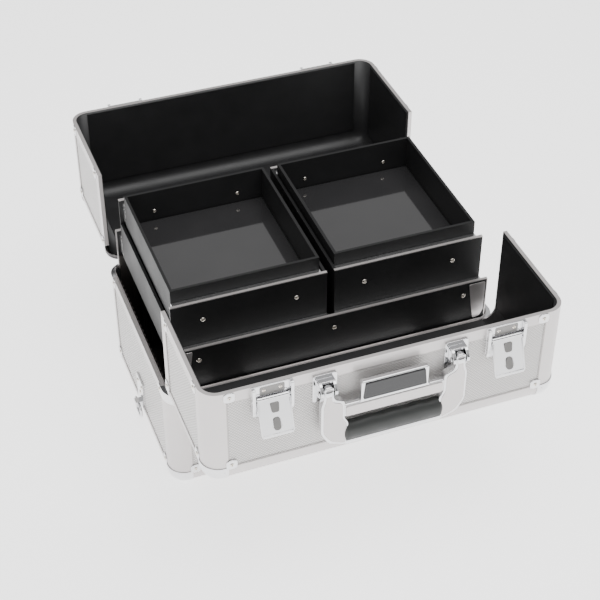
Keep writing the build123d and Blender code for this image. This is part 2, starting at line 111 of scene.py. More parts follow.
# %% [markdown]
# ## Small tools for making meshes
# Real parts are cut, folded and turned, so the tools are the same: a board, a plate cut to an outline,
# a turned profile, and a loft through rings. Each one adds to an open mesh, so that many rivets or
# teeth make one piece. Sharp edges on real metal always catch a little light, so most pieces get a fine
# bevel at the end.

# %% Mesh tools
def add_board(mesh, low, high):
    """A board between two corners."""
    low, high = Vector(low), Vector(high)
    corners = [mesh.verts.new((x, y, z)) for x in (low.x, high.x) for y in (low.y, high.y)
               for z in (low.z, high.z)]
    for loop in ((0, 1, 3, 2), (4, 6, 7, 5), (0, 4, 5, 1), (2, 3, 7, 6), (0, 2, 6, 4), (1, 5, 7, 3)):
        mesh.faces.new([corners[i] for i in loop])


def corners(x_low, y_low, x_high, y_high):
    """The four corners of a rectangle, in order."""
    return [(x_low, y_low), (x_high, y_low), (x_high, y_high), (x_low, y_high)]


def rounded(points, radius, steps=5):
    """The outline through the points with each corner turned into an arc."""
    outline = []
    for i, corner in enumerate(points):
        corner = Vector(corner)
        to_last = Vector(points[i - 1]) - corner
        to_next = Vector(points[(i + 1) % len(points)]) - corner
        reach = min(radius, to_last.length * 0.49, to_next.length * 0.49)
        start, end = corner + to_last.normalized() * reach, corner + to_next.normalized() * reach
        for k in range(steps + 1):
            t = k / steps
            outline.append(start * (1 - t) ** 2 + corner * 2 * t * (1 - t) + end * t ** 2)
    return outline


def add_plate(mesh, outline, low, high, place=Matrix()):
    """A plate cut to an outline in its own XY plane, from height low to high, then put in place."""
    rings = [[mesh.verts.new(place @ Vector((p[0], p[1], h))) for p in outline] for h in (low, high)]
    mesh.faces.new(list(reversed(rings[0])))
    mesh.faces.new(rings[1])
    for i in range(len(outline)):
        j = (i + 1) % len(outline)
        mesh.faces.new((rings[0][i], rings[0][j], rings[1][j], rings[1][i]))


def add_loft(mesh, rings):
    """A closed skin through rings of points, with a face at each end."""
    made = [[mesh.verts.new(p) for p in ring] for ring in rings]
    mesh.faces.new(list(reversed(made[0])))
    mesh.faces.new(made[-1])
    for a, b in zip(made, made[1:]):
        for i in range(len(a)):
            j = (i + 1) % len(a)
            mesh.faces.new((a[i], a[j], b[j], b[i]))


def add_turned(mesh, profile, place=Matrix(), segments=20):
    """A turned shape: the profile gives (radius, height) pairs and no radius is zero."""
    angles = [2 * math.pi * k / segments for k in range(segments)]
    add_loft(mesh, [[place @ Vector((r * math.cos(a), r * math.sin(a), h)) for a in angles]
                    for r, h in profile])


def facing(center, normal, up=(0, 0, 1)):
    """A matrix that puts a flat shape at a point with its Z along the normal and its Y near up."""
    z = Vector(normal).normalized()
    x = Vector(up).cross(z)
    x = x.normalized() if x.length > 1e-6 else Vector((1, 0, 0))
    turn = Matrix((x, z.cross(x), z)).transposed().to_4x4()
    return Matrix.Translation(center) @ turn


def start_mesh():
    """A new open mesh."""
    return bmesh.new()


def make_piece(name, mesh, material, body, place=Matrix(), bevel=0.0, smooth=40):
    """Close the open mesh into an object with its finish, put it in place and let it ride on a body."""
    mesh.transform(place)
    bmesh.ops.recalc_face_normals(mesh, faces=mesh.faces)
    data = bpy.data.meshes.new(name)
    mesh.to_mesh(data)
    mesh.free()
    piece = bpy.data.objects.new(name, data)
    bpy.context.scene.collection.objects.link(piece)
    data.materials.append(material)
    data.shade_smooth()
    data.set_sharp_from_angle(angle=math.radians(smooth))
    if bevel:
        edge = piece.modifiers.new("soft edges", "BEVEL")
        edge.width, edge.segments, edge.limit_method = bevel, 2, "ANGLE"
        edge.angle_limit = math.radians(35)
    if body:
        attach(piece, body)
    print("made", name, "with", len(data.polygons), "faces, on", body)
    return piece


# %% [markdown]
# ## Finishes
# A finish is more than a colour. Each one below has the fine relief and the uneven gloss that the real
# surface has, worked out from the place on the object in metres, so it keeps its scale on every piece.
# A value that is the same all over goes straight onto the shader.

# %% Finish tools
def new_finish(name, color, metallic, roughness):
    """A material with its main shader set; returns the material, its node tree and the shader."""
    material = bpy.data.materials.new(name)
    material.use_nodes = True
    tree = material.node_tree
    shader = tree.nodes["Principled BSDF"]
    shader.inputs["Base Color"].default_value = (*color, 1)
    shader.inputs["Metallic"].default_value = metallic
    shader.inputs["Roughness"].default_value = roughness
    return material, tree, shader


def place_node(tree):
    """The place on the object in metres."""
    return tree.nodes.new("ShaderNodeTexCoord").outputs["Object"]


def noise_node(tree, vector, per_metre, detail=3.0):
    """Soft random patches, so many to the metre."""
    noise = tree.nodes.new("ShaderNodeTexNoise")
    noise.inputs["Scale"].default_value = per_metre
    noise.inputs["Detail"].default_value = detail
    tree.links.new(vector, noise.inputs["Vector"])
    return noise.outputs["Fac"]


def range_node(tree, value, low, high):
    """Spread a value from 0..1 over low..high."""
    spread = tree.nodes.new("ShaderNodeMapRange")
    spread.inputs["To Min"].default_value = low
    spread.inputs["To Max"].default_value = high
    tree.links.new(value, spread.inputs["Value"])
    return spread.outputs["Result"]


def blend_node(tree, value, first, second):
    """A colour between two colours."""
    ramp = tree.nodes.new("ShaderNodeValToRGB")
    ramp.color_ramp.elements[0].color = (*first, 1)
    ramp.color_ramp.elements[1].color = (*second, 1)
    tree.links.new(value, ramp.inputs["Fac"])
    return ramp.outputs["Color"]


def math_node(tree, operation, first, second):
    """One sum on two values; a value is a node's output or a number."""
    node = tree.nodes.new("ShaderNodeMath")
    node.operation = operation
    for socket, value in zip(node.inputs, (first, second)):
        if isinstance(value, (int, float)):
            socket.default_value = value
        else:
            tree.links.new(value, socket)
    return node.outputs["Value"]


def bump_node(tree, shader, height, depth, strength=1.0):
    """Relief of a given depth in metres."""
    bump = tree.nodes.new("ShaderNodeBump")
    bump.inputs["Strength"].default_value = strength
    bump.inputs["Distance"].default_value = depth
    tree.links.new(height, bump.inputs["Height"])
    tree.links.new(bump.outputs["Normal"], shader.inputs["Normal"])


# %% [markdown]
# ### Satin aluminium
# The corner posts, rims and rails are extruded aluminium, anodised to a pale satin. The die leaves a
# very fine grain along the profile and the anodising scatters the light. A stretched noise gives both,
# weakly.

# %% Satin aluminium
def satin_aluminium():
    """Pale anodised extrusion with a faint grain."""
    material, tree, shader = new_finish("satin_aluminium", (0.60, 0.57, 0.565), 0.75, 0.34)
    grain = noise_node(tree, place_node(tree), 420, 4)
    cloud = noise_node(tree, place_node(tree), 14, 2)
    tree.links.new(range_node(tree, grain, 0.27, 0.42), shader.inputs["Roughness"])
    tree.links.new(blend_node(tree, cloud, (0.56, 0.53, 0.525), (0.64, 0.61, 0.60)),
                   shader.inputs["Base Color"])
    bump_node(tree, shader, grain, 0.05 * mm, 0.25)
    return material


aluminium = satin_aluminium()

# %% [markdown]
# ### Stippled silver laminate
# The panels are board with a silver skin that is embossed with small diamonds in a staggered grid. A
# Voronoi texture without randomness is such a grid once its two axes are turned by 45 degrees. The
# panels face three ways, so three flat grids are made and the surface's own normal chooses between
# them.

# %% Stippled laminate
diamond_pitch = 3.4 * mm


def diamond_grid(tree, first, second):
    """Relief of a staggered grid of diamonds on the plane of two axes."""
    corner = tree.nodes.new("ShaderNodeCombineXYZ")
    tree.links.new(math_node(tree, "ADD", first, second), corner.inputs["X"])
    tree.links.new(math_node(tree, "SUBTRACT", first, second), corner.inputs["Y"])
    cells = tree.nodes.new("ShaderNodeTexVoronoi")
    cells.voronoi_dimensions = "2D"
    cells.distance = "EUCLIDEAN"
    cells.inputs["Scale"].default_value = 1 / diamond_pitch
    cells.inputs["Randomness"].default_value = 0.0
    tree.links.new(corner.outputs["Vector"], cells.inputs["Vector"])
    return range_node(tree, math_node(tree, "MULTIPLY", cells.outputs["Distance"], 1.6), 1.0, 0.0)


def stippled_laminate():
    """Silver laminate with embossed diamonds, darker in the grooves between them as painted shade."""
    material, tree, shader = new_finish("stippled_laminate", (0.80, 0.785, 0.775), 0.25, 0.42)
    where = tree.nodes.new("ShaderNodeTexCoord")
    axes = tree.nodes.new("ShaderNodeSeparateXYZ")
    tree.links.new(where.outputs["Object"], axes.inputs["Vector"])
    ways = tree.nodes.new("ShaderNodeSeparateXYZ")
    tree.links.new(where.outputs["Normal"], ways.inputs["Vector"])
    height = None
    for facing_axis, first, second in (("X", "Y", "Z"), ("Y", "X", "Z"), ("Z", "X", "Y")):
        share = math_node(tree, "ABSOLUTE", ways.outputs[facing_axis], 0)
        grid = diamond_grid(tree, axes.outputs[first], axes.outputs[second])
        part = math_node(tree, "MULTIPLY", share, grid)
        height = part if height is None else math_node(tree, "ADD", height, part)
    # The colour follows the relief: darker in the grooves between the diamonds, as painted shade.
    tree.links.new(blend_node(tree, height, (0.40, 0.385, 0.375), (0.88, 0.855, 0.84)),
                   shader.inputs["Base Color"])
    bump_node(tree, shader, height, 0.45 * mm, 0.9)
    return material


laminate = stippled_laminate()

# %% [markdown]
# ### Chrome, zinc and nickel
# Corners, hinges, latches and the handle are chrome plated: nearly a mirror, with a slight unevenness
# that polishing leaves. Slides are zinc plated and duller. Rivets are nickel, a little warm.

# %% Plated metals
def plated(name, color, low, high, patches):
    """A plated metal whose gloss wanders between two roughnesses."""
    material, tree, shader = new_finish(name, color, 1.0, (low + high) / 2)
    gloss = noise_node(tree, place_node(tree), patches, 3)
    tree.links.new(range_node(tree, gloss, low, high), shader.inputs["Roughness"])
    bump_node(tree, shader, gloss, 0.04 * mm, 0.2)
    return material


chrome = plated("chrome_plate", (0.74, 0.74, 0.75), 0.04, 0.12, 60)
zinc = plated("zinc_plate", (0.88, 0.88, 0.88), 0.22, 0.30, 30)
nickel = plated("nickel_plate", (0.80, 0.75, 0.68), 0.12, 0.28, 300)
# Dark steel for pins, screws, ball cages and cams; the same material also colours the painted shade patches
# and strips.
dark_steel_and_painted_shade = plated("dark_steel_and_painted_shade", (0.20, 0.195, 0.19), 0.25, 0.45, 300)

# %% [markdown]
# ### Black boards, lining and sheets
# Tray boards are covered with black leatherette, a skin of tiny rounded cells. The lids are lined with
# smooth black vinyl that shows faint clouds. The tray floors carry a loose sheet of glossy black
# plastic, which mirrors the room at a low angle.

# %% Black finishes
def leatherette():
    """Black leather-grained covering."""
    material, tree, shader = new_finish("black_leatherette", (0.008, 0.008, 0.009), 0.0, 0.5)
    where = place_node(tree)
    cells = tree.nodes.new("ShaderNodeTexVoronoi")
    cells.inputs["Scale"].default_value = 900
    tree.links.new(where, cells.inputs["Vector"])
    wear = noise_node(tree, where, 30, 4)
    tree.links.new(range_node(tree, wear, 0.42, 0.62), shader.inputs["Roughness"])
    tree.links.new(blend_node(tree, wear, (0.005, 0.005, 0.0055), (0.013, 0.013, 0.0135)),
                   shader.inputs["Base Color"])
    bump_node(tree, shader, cells.outputs["Distance"], 0.12 * mm, 0.5)
    shader.inputs["Specular IOR Level"].default_value = 0.35
    return material


def smooth_black(name, dark, light, low, high, patches, depth, ior=1.5):
    """A smooth black skin with faint clouds of colour and gloss."""
    material, tree, shader = new_finish(name, dark, 0.0, low)
    cloud = noise_node(tree, place_node(tree), patches, 4)
    tree.links.new(blend_node(tree, cloud, dark, light), shader.inputs["Base Color"])
    tree.links.new(range_node(tree, cloud, low, high), shader.inputs["Roughness"])
    bump_node(tree, shader, cloud, depth, 0.3)
    shader.inputs["IOR"].default_value = ior
    return material


board_cover = leatherette()
lid_vinyl = smooth_black("lid_vinyl", (0.010, 0.010, 0.0105), (0.018, 0.018, 0.019), 0.38, 0.55, 60,
                         0.2 * mm)
gloss_sheet = smooth_black("gloss_sheet", (0.02, 0.02, 0.021), (0.03, 0.029, 0.03), 0.03, 0.09, 25,
                           0.02 * mm, ior=1.8)
gloss_inlay = smooth_black("gloss_inlay", (0.012, 0.012, 0.014), (0.018, 0.018, 0.02), 0.05, 0.1, 40,
                           0.01 * mm)
rubber = smooth_black("grip_rubber", (0.014, 0.0155, 0.0145), (0.024, 0.026, 0.0245), 0.42, 0.6, 900,
                      0.12 * mm)
foam = smooth_black("ribbed_foam", (0.020, 0.0175, 0.016), (0.045, 0.039, 0.036), 0.75, 0.95, 500,
                    0.5 * mm)
base_laminate = smooth_black("base_laminate", (0.50, 0.49, 0.48), (0.60, 0.59, 0.58), 0.45, 0.6, 200,
                             0.1 * mm)

# %% [markdown]
# ### Finishes on the frame's own parts
# Where the frame's shape is already the real shape, the part stays and only gets its finish.

# %% Dress the frame
part_finishes = {
    aluminium: ("base_corner_posts", "base_bottom_rails", "base_rim", "carrier_trims", "front_lid_posts",
                "front_lid_long_edge", "front_lid_end_edges", "front_lid_rim", "rear_lid_posts",
                "rear_lid_long_edge", "rear_lid_end_edges", "rear_lid_rim", "left_lower_trim",
                "right_lower_trim"),
    laminate: ("base_wall_panels", "front_lid_panels", "rear_lid_panels"),
    base_laminate: ("base_bottom_panel",),
    chrome: ("base_corner_fittings", "front_lid_corner_caps", "rear_lid_corner_caps", "hinge_base_leaves",
             "front_lid_hinge_leaves", "rear_lid_hinge_leaves", "handle_brackets", "latch_bases",
             "latch_keepers", "left_latch_flap", "right_latch_flap", "left_key_cylinder",
             "right_key_cylinder", "strap_mounts", "left_strap_ring", "right_strap_ring", "handle_frame",
             "handle_bridge"),
    dark_steel_and_painted_shade: ("hinge_pins",),
    nickel: ("base_rivets", "front_lid_rivets", "rear_lid_rivets", "left_lower_rivets",
             "right_lower_rivets"),
    zinc: ("carrier_rails", "left_lower_slides", "right_lower_slides", "left_upper_slides",
           "right_upper_slides"),
    board_cover: ("tray_carriers", "left_lower_tray", "right_lower_tray", "left_upper_tray",
                  "right_upper_tray"),
    lid_vinyl: ("front_lid_lining", "rear_lid_lining"),
    foam: ("wall_liners", "end_liners", "floor_pad", "dividers"),
    rubber: ("handle_grip",),
    gloss_inlay: ("handle_inlay",),
}
for finish, names in part_finishes.items():
    for name in names:
        slots = frame["nodes"][name].data.materials
        slots.clear()
        slots.append(finish)
print("dressed", sum(len(names) for names in part_finishes.values()), "of", len(frame["nodes"]), "parts")

# %% [markdown]
# ## The black skins inside the shells
# Inside, the frame profiles don't show: each half is lined right up to the rim, and the lining turns
# the rounded corners with the shell. So the lining is one rounded box just inside the walls, cut open
# at the seam and given a thickness. Cutting a whole box keeps the three-way corners round without any
# modelling by hand.

# %% Skins
skin_gap = 0.05 * mm
skin_thickness = 0.4 * mm
skin_corner = corner_radius - profile_thickness - skin_gap


def rounded_box(low, high, radius, segments=8):
    """An open mesh of a box with all its edges rounded."""
    mesh = start_mesh()
    add_board(mesh, low, high)
    bmesh.ops.bevel(mesh, geom=mesh.edges[:] + mesh.verts[:], offset=radius, segments=segments,
                    profile=0.5, affect="EDGES")
    return mesh


def cut_away(mesh, point, outward):
    """Keep the side of a plane that the outward direction doesn't point to."""
    bmesh.ops.bisect_plane(mesh, geom=mesh.verts[:] + mesh.edges[:] + mesh.faces[:], plane_co=point,
                           plane_no=outward, clear_outer=True)


def make_skin(name, cuts, material, body, place, replaced):
    """A lining of the whole cavity, cut by the planes and opened."""
    inner_x = half_length - profile_thickness - skin_gap
    inner_y = half_depth - profile_thickness - skin_gap
    mesh = rounded_box((-inner_x, -inner_y, profile_thickness + skin_gap),
                       (inner_x, inner_y, case_height - profile_thickness - skin_gap),
                       skin_corner)
    bmesh.ops.recalc_face_normals(mesh, faces=mesh.faces)
    for point, outward in cuts:
        cut_away(mesh, point, outward)
    skin = make_piece(name, mesh, material, None, place, smooth=50)
    thick = skin.modifiers.new("thickness", "SOLIDIFY")
    thick.thickness, thick.offset = skin_thickness, -1
    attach(skin, body)
    if replaced:
        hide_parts(replaced)
    return skin


rim_gap, hinge_edge = 0.4 * mm, 2.6 * mm
for side, lid in ((-1, "front_lid"), (1, "rear_lid")):
    cuts = [((0, 0, seam_height + hinge_edge), (0, 0, -1)), ((0, side * rim_gap, 0), (0, -side, 0))]
    make_skin(f"{lid}_vinyl_skin", cuts, lid_vinyl, lid, swing(side), f"{lid}_lining")
make_skin("base_vinyl_skin", [((0, 0, seam_height - rim_gap), (0, 0, 1))], lid_vinyl, "base",
                  Matrix(), None)

# %% [markdown]
# ## Tongue of the rim
# A thin metal tongue stands up a little round the opening of the base. It guides the lids when they
# close and shows as a bright line between the trays' carriers and the lid. It is one closed ring: a
# small section carried round a rounded rectangle.

# %% Rim tongue
def rectangle(half_x, half_y, radius, steps=12):
    """The outline of a rectangle round the origin, its corners true quarter circles."""
    outline = []
    for quarter, (side_x, side_y) in enumerate(((1, 1), (-1, 1), (-1, -1), (1, -1))):
        for step in range(steps + 1):
            angle = (quarter + step / steps) * math.pi / 2
            outline.append((side_x * (half_x - radius) + radius * math.cos(angle),
                            side_y * (half_y - radius) + radius * math.sin(angle)))
    return outline


def add_ring(mesh, half_x, half_y, radius, section):
    """Carry a section of (inset, height) points round a rounded rectangle."""
    rows = [[mesh.verts.new((x, y, z)) for x,
             y in rectangle(half_x - inset, half_y - inset, radius - inset)]
            for inset, z in section]
    for row, after in zip(rows, rows[1:] + rows[:1]):
        for index in range(len(row)):
            mesh.faces.new((row[index - 1], row[index], after[index], after[index - 1]))


tongue = start_mesh()
tongue_foot, tongue_top = seam_height - 1 * mm, seam_height + 2.2 * mm
tongue_gap, tongue_thickness = 0.25 * mm, 0.3 * mm
add_ring(tongue, half_length - profile_thickness, half_depth - profile_thickness,
         corner_radius - profile_thickness,
         [(tongue_gap, tongue_foot), (tongue_gap, tongue_top), (tongue_gap + tongue_thickness, tongue_top),
          (tongue_gap + tongue_thickness, tongue_foot)])
make_piece("base_rim_tongue", tongue, aluminium, "base")

# %% [markdown]
# ## Beading along the panels
# Where a panel slides into its profile, the profile's edge is knurled, and from a distance that reads
# as a dotted line. A strip of small teeth round each panel gives the line real depth: its inner edge
# zigzags and it stands a little proud of the panel. Its dark grey is painted shade that makes the line
# read dark; the knurled edge itself is the profile's metal.

# %% Beading
tooth_pitch = 3.0 * mm
tooth_short, tooth_long = 0.7 * mm, 1.7 * mm
bead_height = 0.5 * mm


def add_teeth(mesh, start, along, inward, normal, length):
    """One straight run of toothed strip from start, as a closed strip of small blocks."""
    count = max(2, round(length / tooth_pitch) * 2)
    columns = []
    for k in range(count + 1):
        root = start + along * (length * k / count)
        reach = inward * (tooth_long if k % 2 else tooth_short)
        columns.append([mesh.verts.new(p) for p in (root, root + reach, root + reach + normal * bead_height,
                                                    root + normal * bead_height)])
    for a, b in zip(columns, columns[1:]):
        for i in range(4):
            j = (i + 1) % 4
            mesh.faces.new((a[i], a[j], b[j], b[i]))
    mesh.faces.new(columns[0])
    mesh.faces.new(list(reversed(columns[-1])))


def add_bead_frame(mesh, corner, across, up, normal):
    """Teeth round the four sides of a panel given by a corner and its two edge vectors."""
    corner, across, up, normal = (Vector(v) for v in (corner, across, up, normal))
    runs = ((corner, across, up), (corner + across, up, -across), (corner + across + up, -across, -up),
            (corner + up, -up, across))
    for start, edge, inward in runs:
        add_teeth(mesh, start, edge.normalized(), inward.normalized(), normal, edge.length)


# Dark grey as painted shade along the knurled edges.
painted_shade_bead = plated("bead_edge_painted_shade", (0.42, 0.40, 0.39), 0.3, 0.45, 200)
panel_height = panel_top - panel_bottom
lid_panel_low, lid_panel_high = seam_height + rim_width, case_height - profile_width
lid_panel_height = lid_panel_high - lid_panel_low

beads = start_mesh()
for side in both_sides:
    add_bead_frame(beads, (-post_x, side * panel_y, panel_bottom), (2 * post_x, 0, 0), (0, 0, panel_height),
                   (0, side, 0))
    add_bead_frame(beads, (side * panel_x, -post_y, panel_bottom), (0, 2 * post_y, 0), (0, 0, panel_height),
                   (side, 0, 0))
make_piece("base_panel_beading", beads, painted_shade_bead, "base")

for side, lid in ((-1, "front_lid"), (1, "rear_lid")):
    beads = start_mesh()
    add_bead_frame(beads, (-post_x, side * panel_y, lid_panel_low), (2 * post_x, 0, 0),
                   (0, 0, lid_panel_height), (0, side, 0))
    add_bead_frame(beads, (-post_x, side * rim_width, lid_top_panel), (2 * post_x, 0, 0),
                   (0, side * (post_y - rim_width), 0), (0, 0, 1))
    for end in both_sides:
        add_bead_frame(beads, (end * panel_x, side * rim_width, lid_panel_low),
                       (0, side * (post_y - rim_width), 0), (0, 0, lid_panel_height), (end, 0, 0))
    make_piece(f"{lid}_panel_beading", beads, painted_shade_bead, lid, swing(side))

# %% [markdown]
# ## Rivets
# The case is held together with blind rivets. Each has a low domed head with a small pit in the middle
# where its pin broke off, and that dark pit is what the eye sees. One turned profile makes them all.

# %% Rivets
rivet_radius, rivet_height = 2.5 * mm, 1.1 * mm


def add_rivet(mesh, center, normal, size=1.0):
    """A blind rivet's head on a surface."""
    r, h = rivet_radius * size, rivet_height * size
    profile = ((r * 0.98, -0.1 * mm), (r, h * 0.25), (r * 0.88, h * 0.62), (r * 0.68, h * 0.9),
               (r * 0.48, h), (r * 0.36, h * 0.85), (r * 0.30, h * 0.25), (r * 0.05, h * 0.2))
    add_turned(mesh, profile, facing(center, normal, (0.1, 0.2, 1)), 16)


leaf_face, doubled_face = half_depth + 1.2 * mm, half_depth + 2.2 * mm
hinge_x, rivet_spread = 112.5 * mm, 11 * mm
carrier_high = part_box("tray_carriers")[1]
rivets = start_mesh()
for side in both_sides:
    for end in both_sides:
        for offset in (-rivet_spread, rivet_spread):
            for face, drop in ((leaf_face, 37.5 * mm), (doubled_face, 8.5 * mm)):
                add_rivet(rivets, (end * hinge_x + offset, side * face, seam_height - drop), (0, side, 0))
        add_rivet(rivets, (end * hinge_x, side * leaf_face, seam_height - 47.5 * mm), (0, side, 0), 0.6)
    for x in (-145 * mm, 0, 145 * mm):
        height = carrier_high.z - 15 * mm
        add_rivet(rivets, (x, side * carrier_high.y, height), (0, side, 0))
base_rivets = make_piece("base_rivet_heads", rivets, nickel, "base")
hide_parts("base_rivets")

for side, lid in ((-1, "front_lid"), (1, "rear_lid")):
    rivets = start_mesh()
    for end in both_sides:
        for offset in (-rivet_spread, rivet_spread):
            for face, rise in ((doubled_face, 7.5 * mm), (leaf_face, 24 * mm)):
                add_rivet(rivets, (end * hinge_x + offset, side * face, seam_height + rise), (0, side, 0))
    lid_rivets = make_piece(f"{lid}_rivet_heads", rivets, nickel, lid, swing(side))
    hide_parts(f"{lid}_rivets")

# %% [markdown]
# ## Corner tabs
# The chrome ball corners and the small corner plates at the rim reach onto the panels with a rounded
# tab on each face, and one rivet goes through each tab. A tab is a small rounded plate; the loops place
# it for every corner.

# %% Corner tabs
tab_size = 11 * mm
tab_proud = 0.9 * mm
tab_inset = 3.2 * mm


def add_tab(plates, heads, center, normal, size=tab_size, depth=1.8 * mm):
    """A rounded plate with its rivet; depth goes down into the panel's recess."""
    half = size / 2
    outline = rounded(corners(-half, -half, half, half), half * 0.75)
    add_plate(plates, outline, -depth, tab_proud, facing(center, normal))
    top = Vector(center) + Vector(normal) * tab_proud
    add_rivet(heads, top, normal, 0.85)


def add_corner_tabs(plates, heads, x_sign, y_sign, height, faces):
    """Tabs of one corner: on the long face, on the end face, and flat on the top where asked."""
    if "wall" in faces:
        add_tab(plates, heads, (x_sign * (post_x - tab_inset), y_sign * half_depth, height), (0, y_sign, 0))
        add_tab(plates, heads, (x_sign * half_length, y_sign * (post_y - tab_inset), height),
                (x_sign, 0, 0))
    if "top" in faces:
        flat = (x_sign * (post_x - tab_inset), y_sign * (post_y - tab_inset), case_height)
        add_tab(plates, heads, flat, (0, 0, 1))


plates, heads = start_mesh(), start_mesh()
for x_sign in both_sides:
    for y_sign in both_sides:
        add_corner_tabs(plates, heads, x_sign, y_sign, panel_bottom + tab_inset, ("wall",))
        add_corner_tabs(plates, heads, x_sign, y_sign, seam_height - rim_width / 2, ("wall",))
make_piece("base_corner_tabs", plates, chrome, "base", bevel=0.3 * mm)
make_piece("base_tab_rivets", heads, nickel, "base")

for side, lid in ((-1, "front_lid"), (1, "rear_lid")):
    plates, heads = start_mesh(), start_mesh()
    for x_sign in both_sides:
        add_corner_tabs(plates, heads, x_sign, side, lid_panel_high - tab_inset, ("wall", "top"))
        add_corner_tabs(plates, heads, x_sign, side, seam_height + rim_width / 2, ("wall",))
        seam_tab = side * rim_width / 2
        add_tab(plates, heads, (x_sign * (post_x - tab_inset), seam_tab, case_height), (0, 0, 1))
        add_tab(plates, heads, (x_sign * half_length, seam_tab, lid_panel_high - tab_inset), (x_sign, 0, 0))
        add_tab(plates, heads, (x_sign * half_length, seam_tab, lid_panel_low + tab_inset), (x_sign, 0, 0))
    make_piece(f"{lid}_corner_tabs", plates, chrome, lid, swing(side), bevel=0.3 * mm)
    make_piece(f"{lid}_tab_rivets", heads, nickel, lid, swing(side))

# %% [markdown]
# ## Hinges
# Each hinge is two pressed leaves on a pin. The leaf on the base ends in a shield, the leaf on the lid
# in two lobes, and a second, doubled plate stiffens each next to the knuckle. Folded bars and side
# flanges catch the light. The leaves are plates cut to an outline, which is how a press makes them.

# %% Hinge leaves
leaf_thickness, plate_face = 1.2 * mm, 2.2 * mm
leaf_half, knuckle_half, knuckle_gap = 18.5 * mm, 9.5 * mm, 0.3 * mm
knuckle_radius = 2.4 * mm
flange_x, flange_radius = leaf_half + 0.9 * mm, 1.1 * mm


def leaf_place(center_x, side):
    """The matrix that lays a flat outline on a long wall with its Y measured up from the seam."""
    return facing((center_x, side * half_depth, seam_height), (0, side, 0))


def add_bar(mesh, start, end, radius, segments=14):
    """A round bar with softened ends between two points."""
    start, end = Vector(start), Vector(end)
    length = (end - start).length
    soft = radius * 0.35
    profile = ((radius - soft, 0), (radius, soft), (radius, length - soft), (radius - soft, length))
    add_turned(mesh, profile, facing(start, end - start, (0.1, 0.2, 1)), segments)


def add_base_leaf(metal, shade, center_x, side):
    """The shield leaf, doubled plate, painted shade strip, middle knuckle and side flanges."""
    place = leaf_place(center_x, side)
    shield = [(-leaf_half, -3.2 * mm), (-leaf_half, -37 * mm), (-7 * mm, -50 * mm), (0, -54.5 * mm),
              (7 * mm, -50 * mm), (leaf_half, -37 * mm), (leaf_half, -3.2 * mm)]
    add_plate(metal, rounded(shield, 4 * mm), 0, leaf_thickness, place)
    doubled = corners(-leaf_half, -15.5 * mm, leaf_half, -3 * mm)
    add_plate(metal, rounded(doubled, 1 * mm), 0, plate_face, place)
    # A dark strip across the leaf: painted shade of a bend in the leaf.
    strip = corners(-17 * mm, -20 * mm, 17 * mm, -16.4 * mm)
    add_plate(shade, strip, 0, leaf_thickness + 0.25 * mm, place)
    add_board(metal,
              (center_x - knuckle_half, min(side * half_depth, side * hinge_y), seam_height - 3.4 * mm),
              (center_x + knuckle_half, max(side * half_depth, side * hinge_y), seam_height - 1.6 * mm))
    add_bar(metal, (center_x - knuckle_half, side * hinge_y, seam_height),
            (center_x + knuckle_half, side * hinge_y, seam_height), knuckle_radius)
    for end in both_sides:
        x = center_x + end * flange_x
        add_bar(metal, (x, side * (half_depth + 1.4 * mm), seam_height - 19 * mm),
                (x, side * (half_depth + 1.4 * mm), seam_height - 2.8 * mm), flange_radius)


def add_lid_leaf(metal, center_x, side):
    """The lobed leaf, its doubled plate, two folded bars, outer knuckles and side flanges."""
    place = leaf_place(center_x, side)
    lobes = [(-leaf_half, 3.2 * mm), (leaf_half, 3.2 * mm), (leaf_half, 26 * mm), (15 * mm, 30 * mm),
             (8 * mm, 30 * mm), (5.5 * mm, 26.5 * mm), (-5.5 * mm, 26.5 * mm), (-8 * mm, 30 * mm),
             (-15 * mm, 30 * mm), (-leaf_half, 26 * mm)]
    add_plate(metal, rounded(lobes, 3 * mm), 0, leaf_thickness, place)
    doubled = corners(-leaf_half, 3 * mm, leaf_half, 12.5 * mm)
    add_plate(metal, rounded(doubled, 1 * mm), 0, plate_face, place)
    for rise in (14.6 * mm, 19.2 * mm):
        add_bar(metal, (center_x - leaf_half, side * (half_depth + 1.3 * mm), seam_height + rise),
                (center_x + leaf_half, side * (half_depth + 1.3 * mm), seam_height + rise), 1.3 * mm)
    for end in both_sides:
        inner, outer = center_x + end * (knuckle_half + knuckle_gap), center_x + end * leaf_half
        low, high = min(inner, outer), max(inner, outer)
        add_board(metal, (low, min(side * half_depth, side * hinge_y), seam_height + 1.6 * mm),
                  (high, max(side * half_depth, side * hinge_y), seam_height + 3.4 * mm))
        add_bar(metal, (low, side * hinge_y, seam_height), (high, side * hinge_y, seam_height),
                knuckle_radius)
        x = center_x + end * flange_x
        add_bar(metal, (x, side * (half_depth + 1.4 * mm), seam_height + 2.8 * mm),
                (x, side * (half_depth + 1.4 * mm), seam_height + 15 * mm), flange_radius)


metal, shade = start_mesh(), start_mesh()
for side in both_sides:
    for end in both_sides:
        add_base_leaf(metal, shade, end * hinge_x, side)
base_leaves = make_piece("base_hinge_leaves", metal, chrome, "base", bevel=0.25 * mm)
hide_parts("hinge_base_leaves")
# The dark strips on the shield leaves are painted shade.
make_piece("base_hinge_painted_shade_strips", shade, dark_steel_and_painted_shade, "base", bevel=0.1 * mm)
for side, lid in ((-1, "front_lid"), (1, "rear_lid")):
    metal = start_mesh()
    for end in both_sides:
        add_lid_leaf(metal, end * hinge_x, side)
    leaves = make_piece(f"{lid}_pressed_leaves", metal, chrome, lid, swing(side), bevel=0.25 * mm)
    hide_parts(f"{lid}_hinge_leaves")

# %% [markdown]
# ## Latches
# A latch has two halves that meet over the seam: the front one carries the flap on a pin, the rear one
# has the low rib that the flap closes over. Both sit in a low chrome surround. The flap is modelled lying
# shut, then turned open about its pin, so its raised panel and lip end up where the open latch has
# them.

# %% Latches
joints = {joint["name"]: joint for joint in frame["record"]["behaviour"]["joints"]}


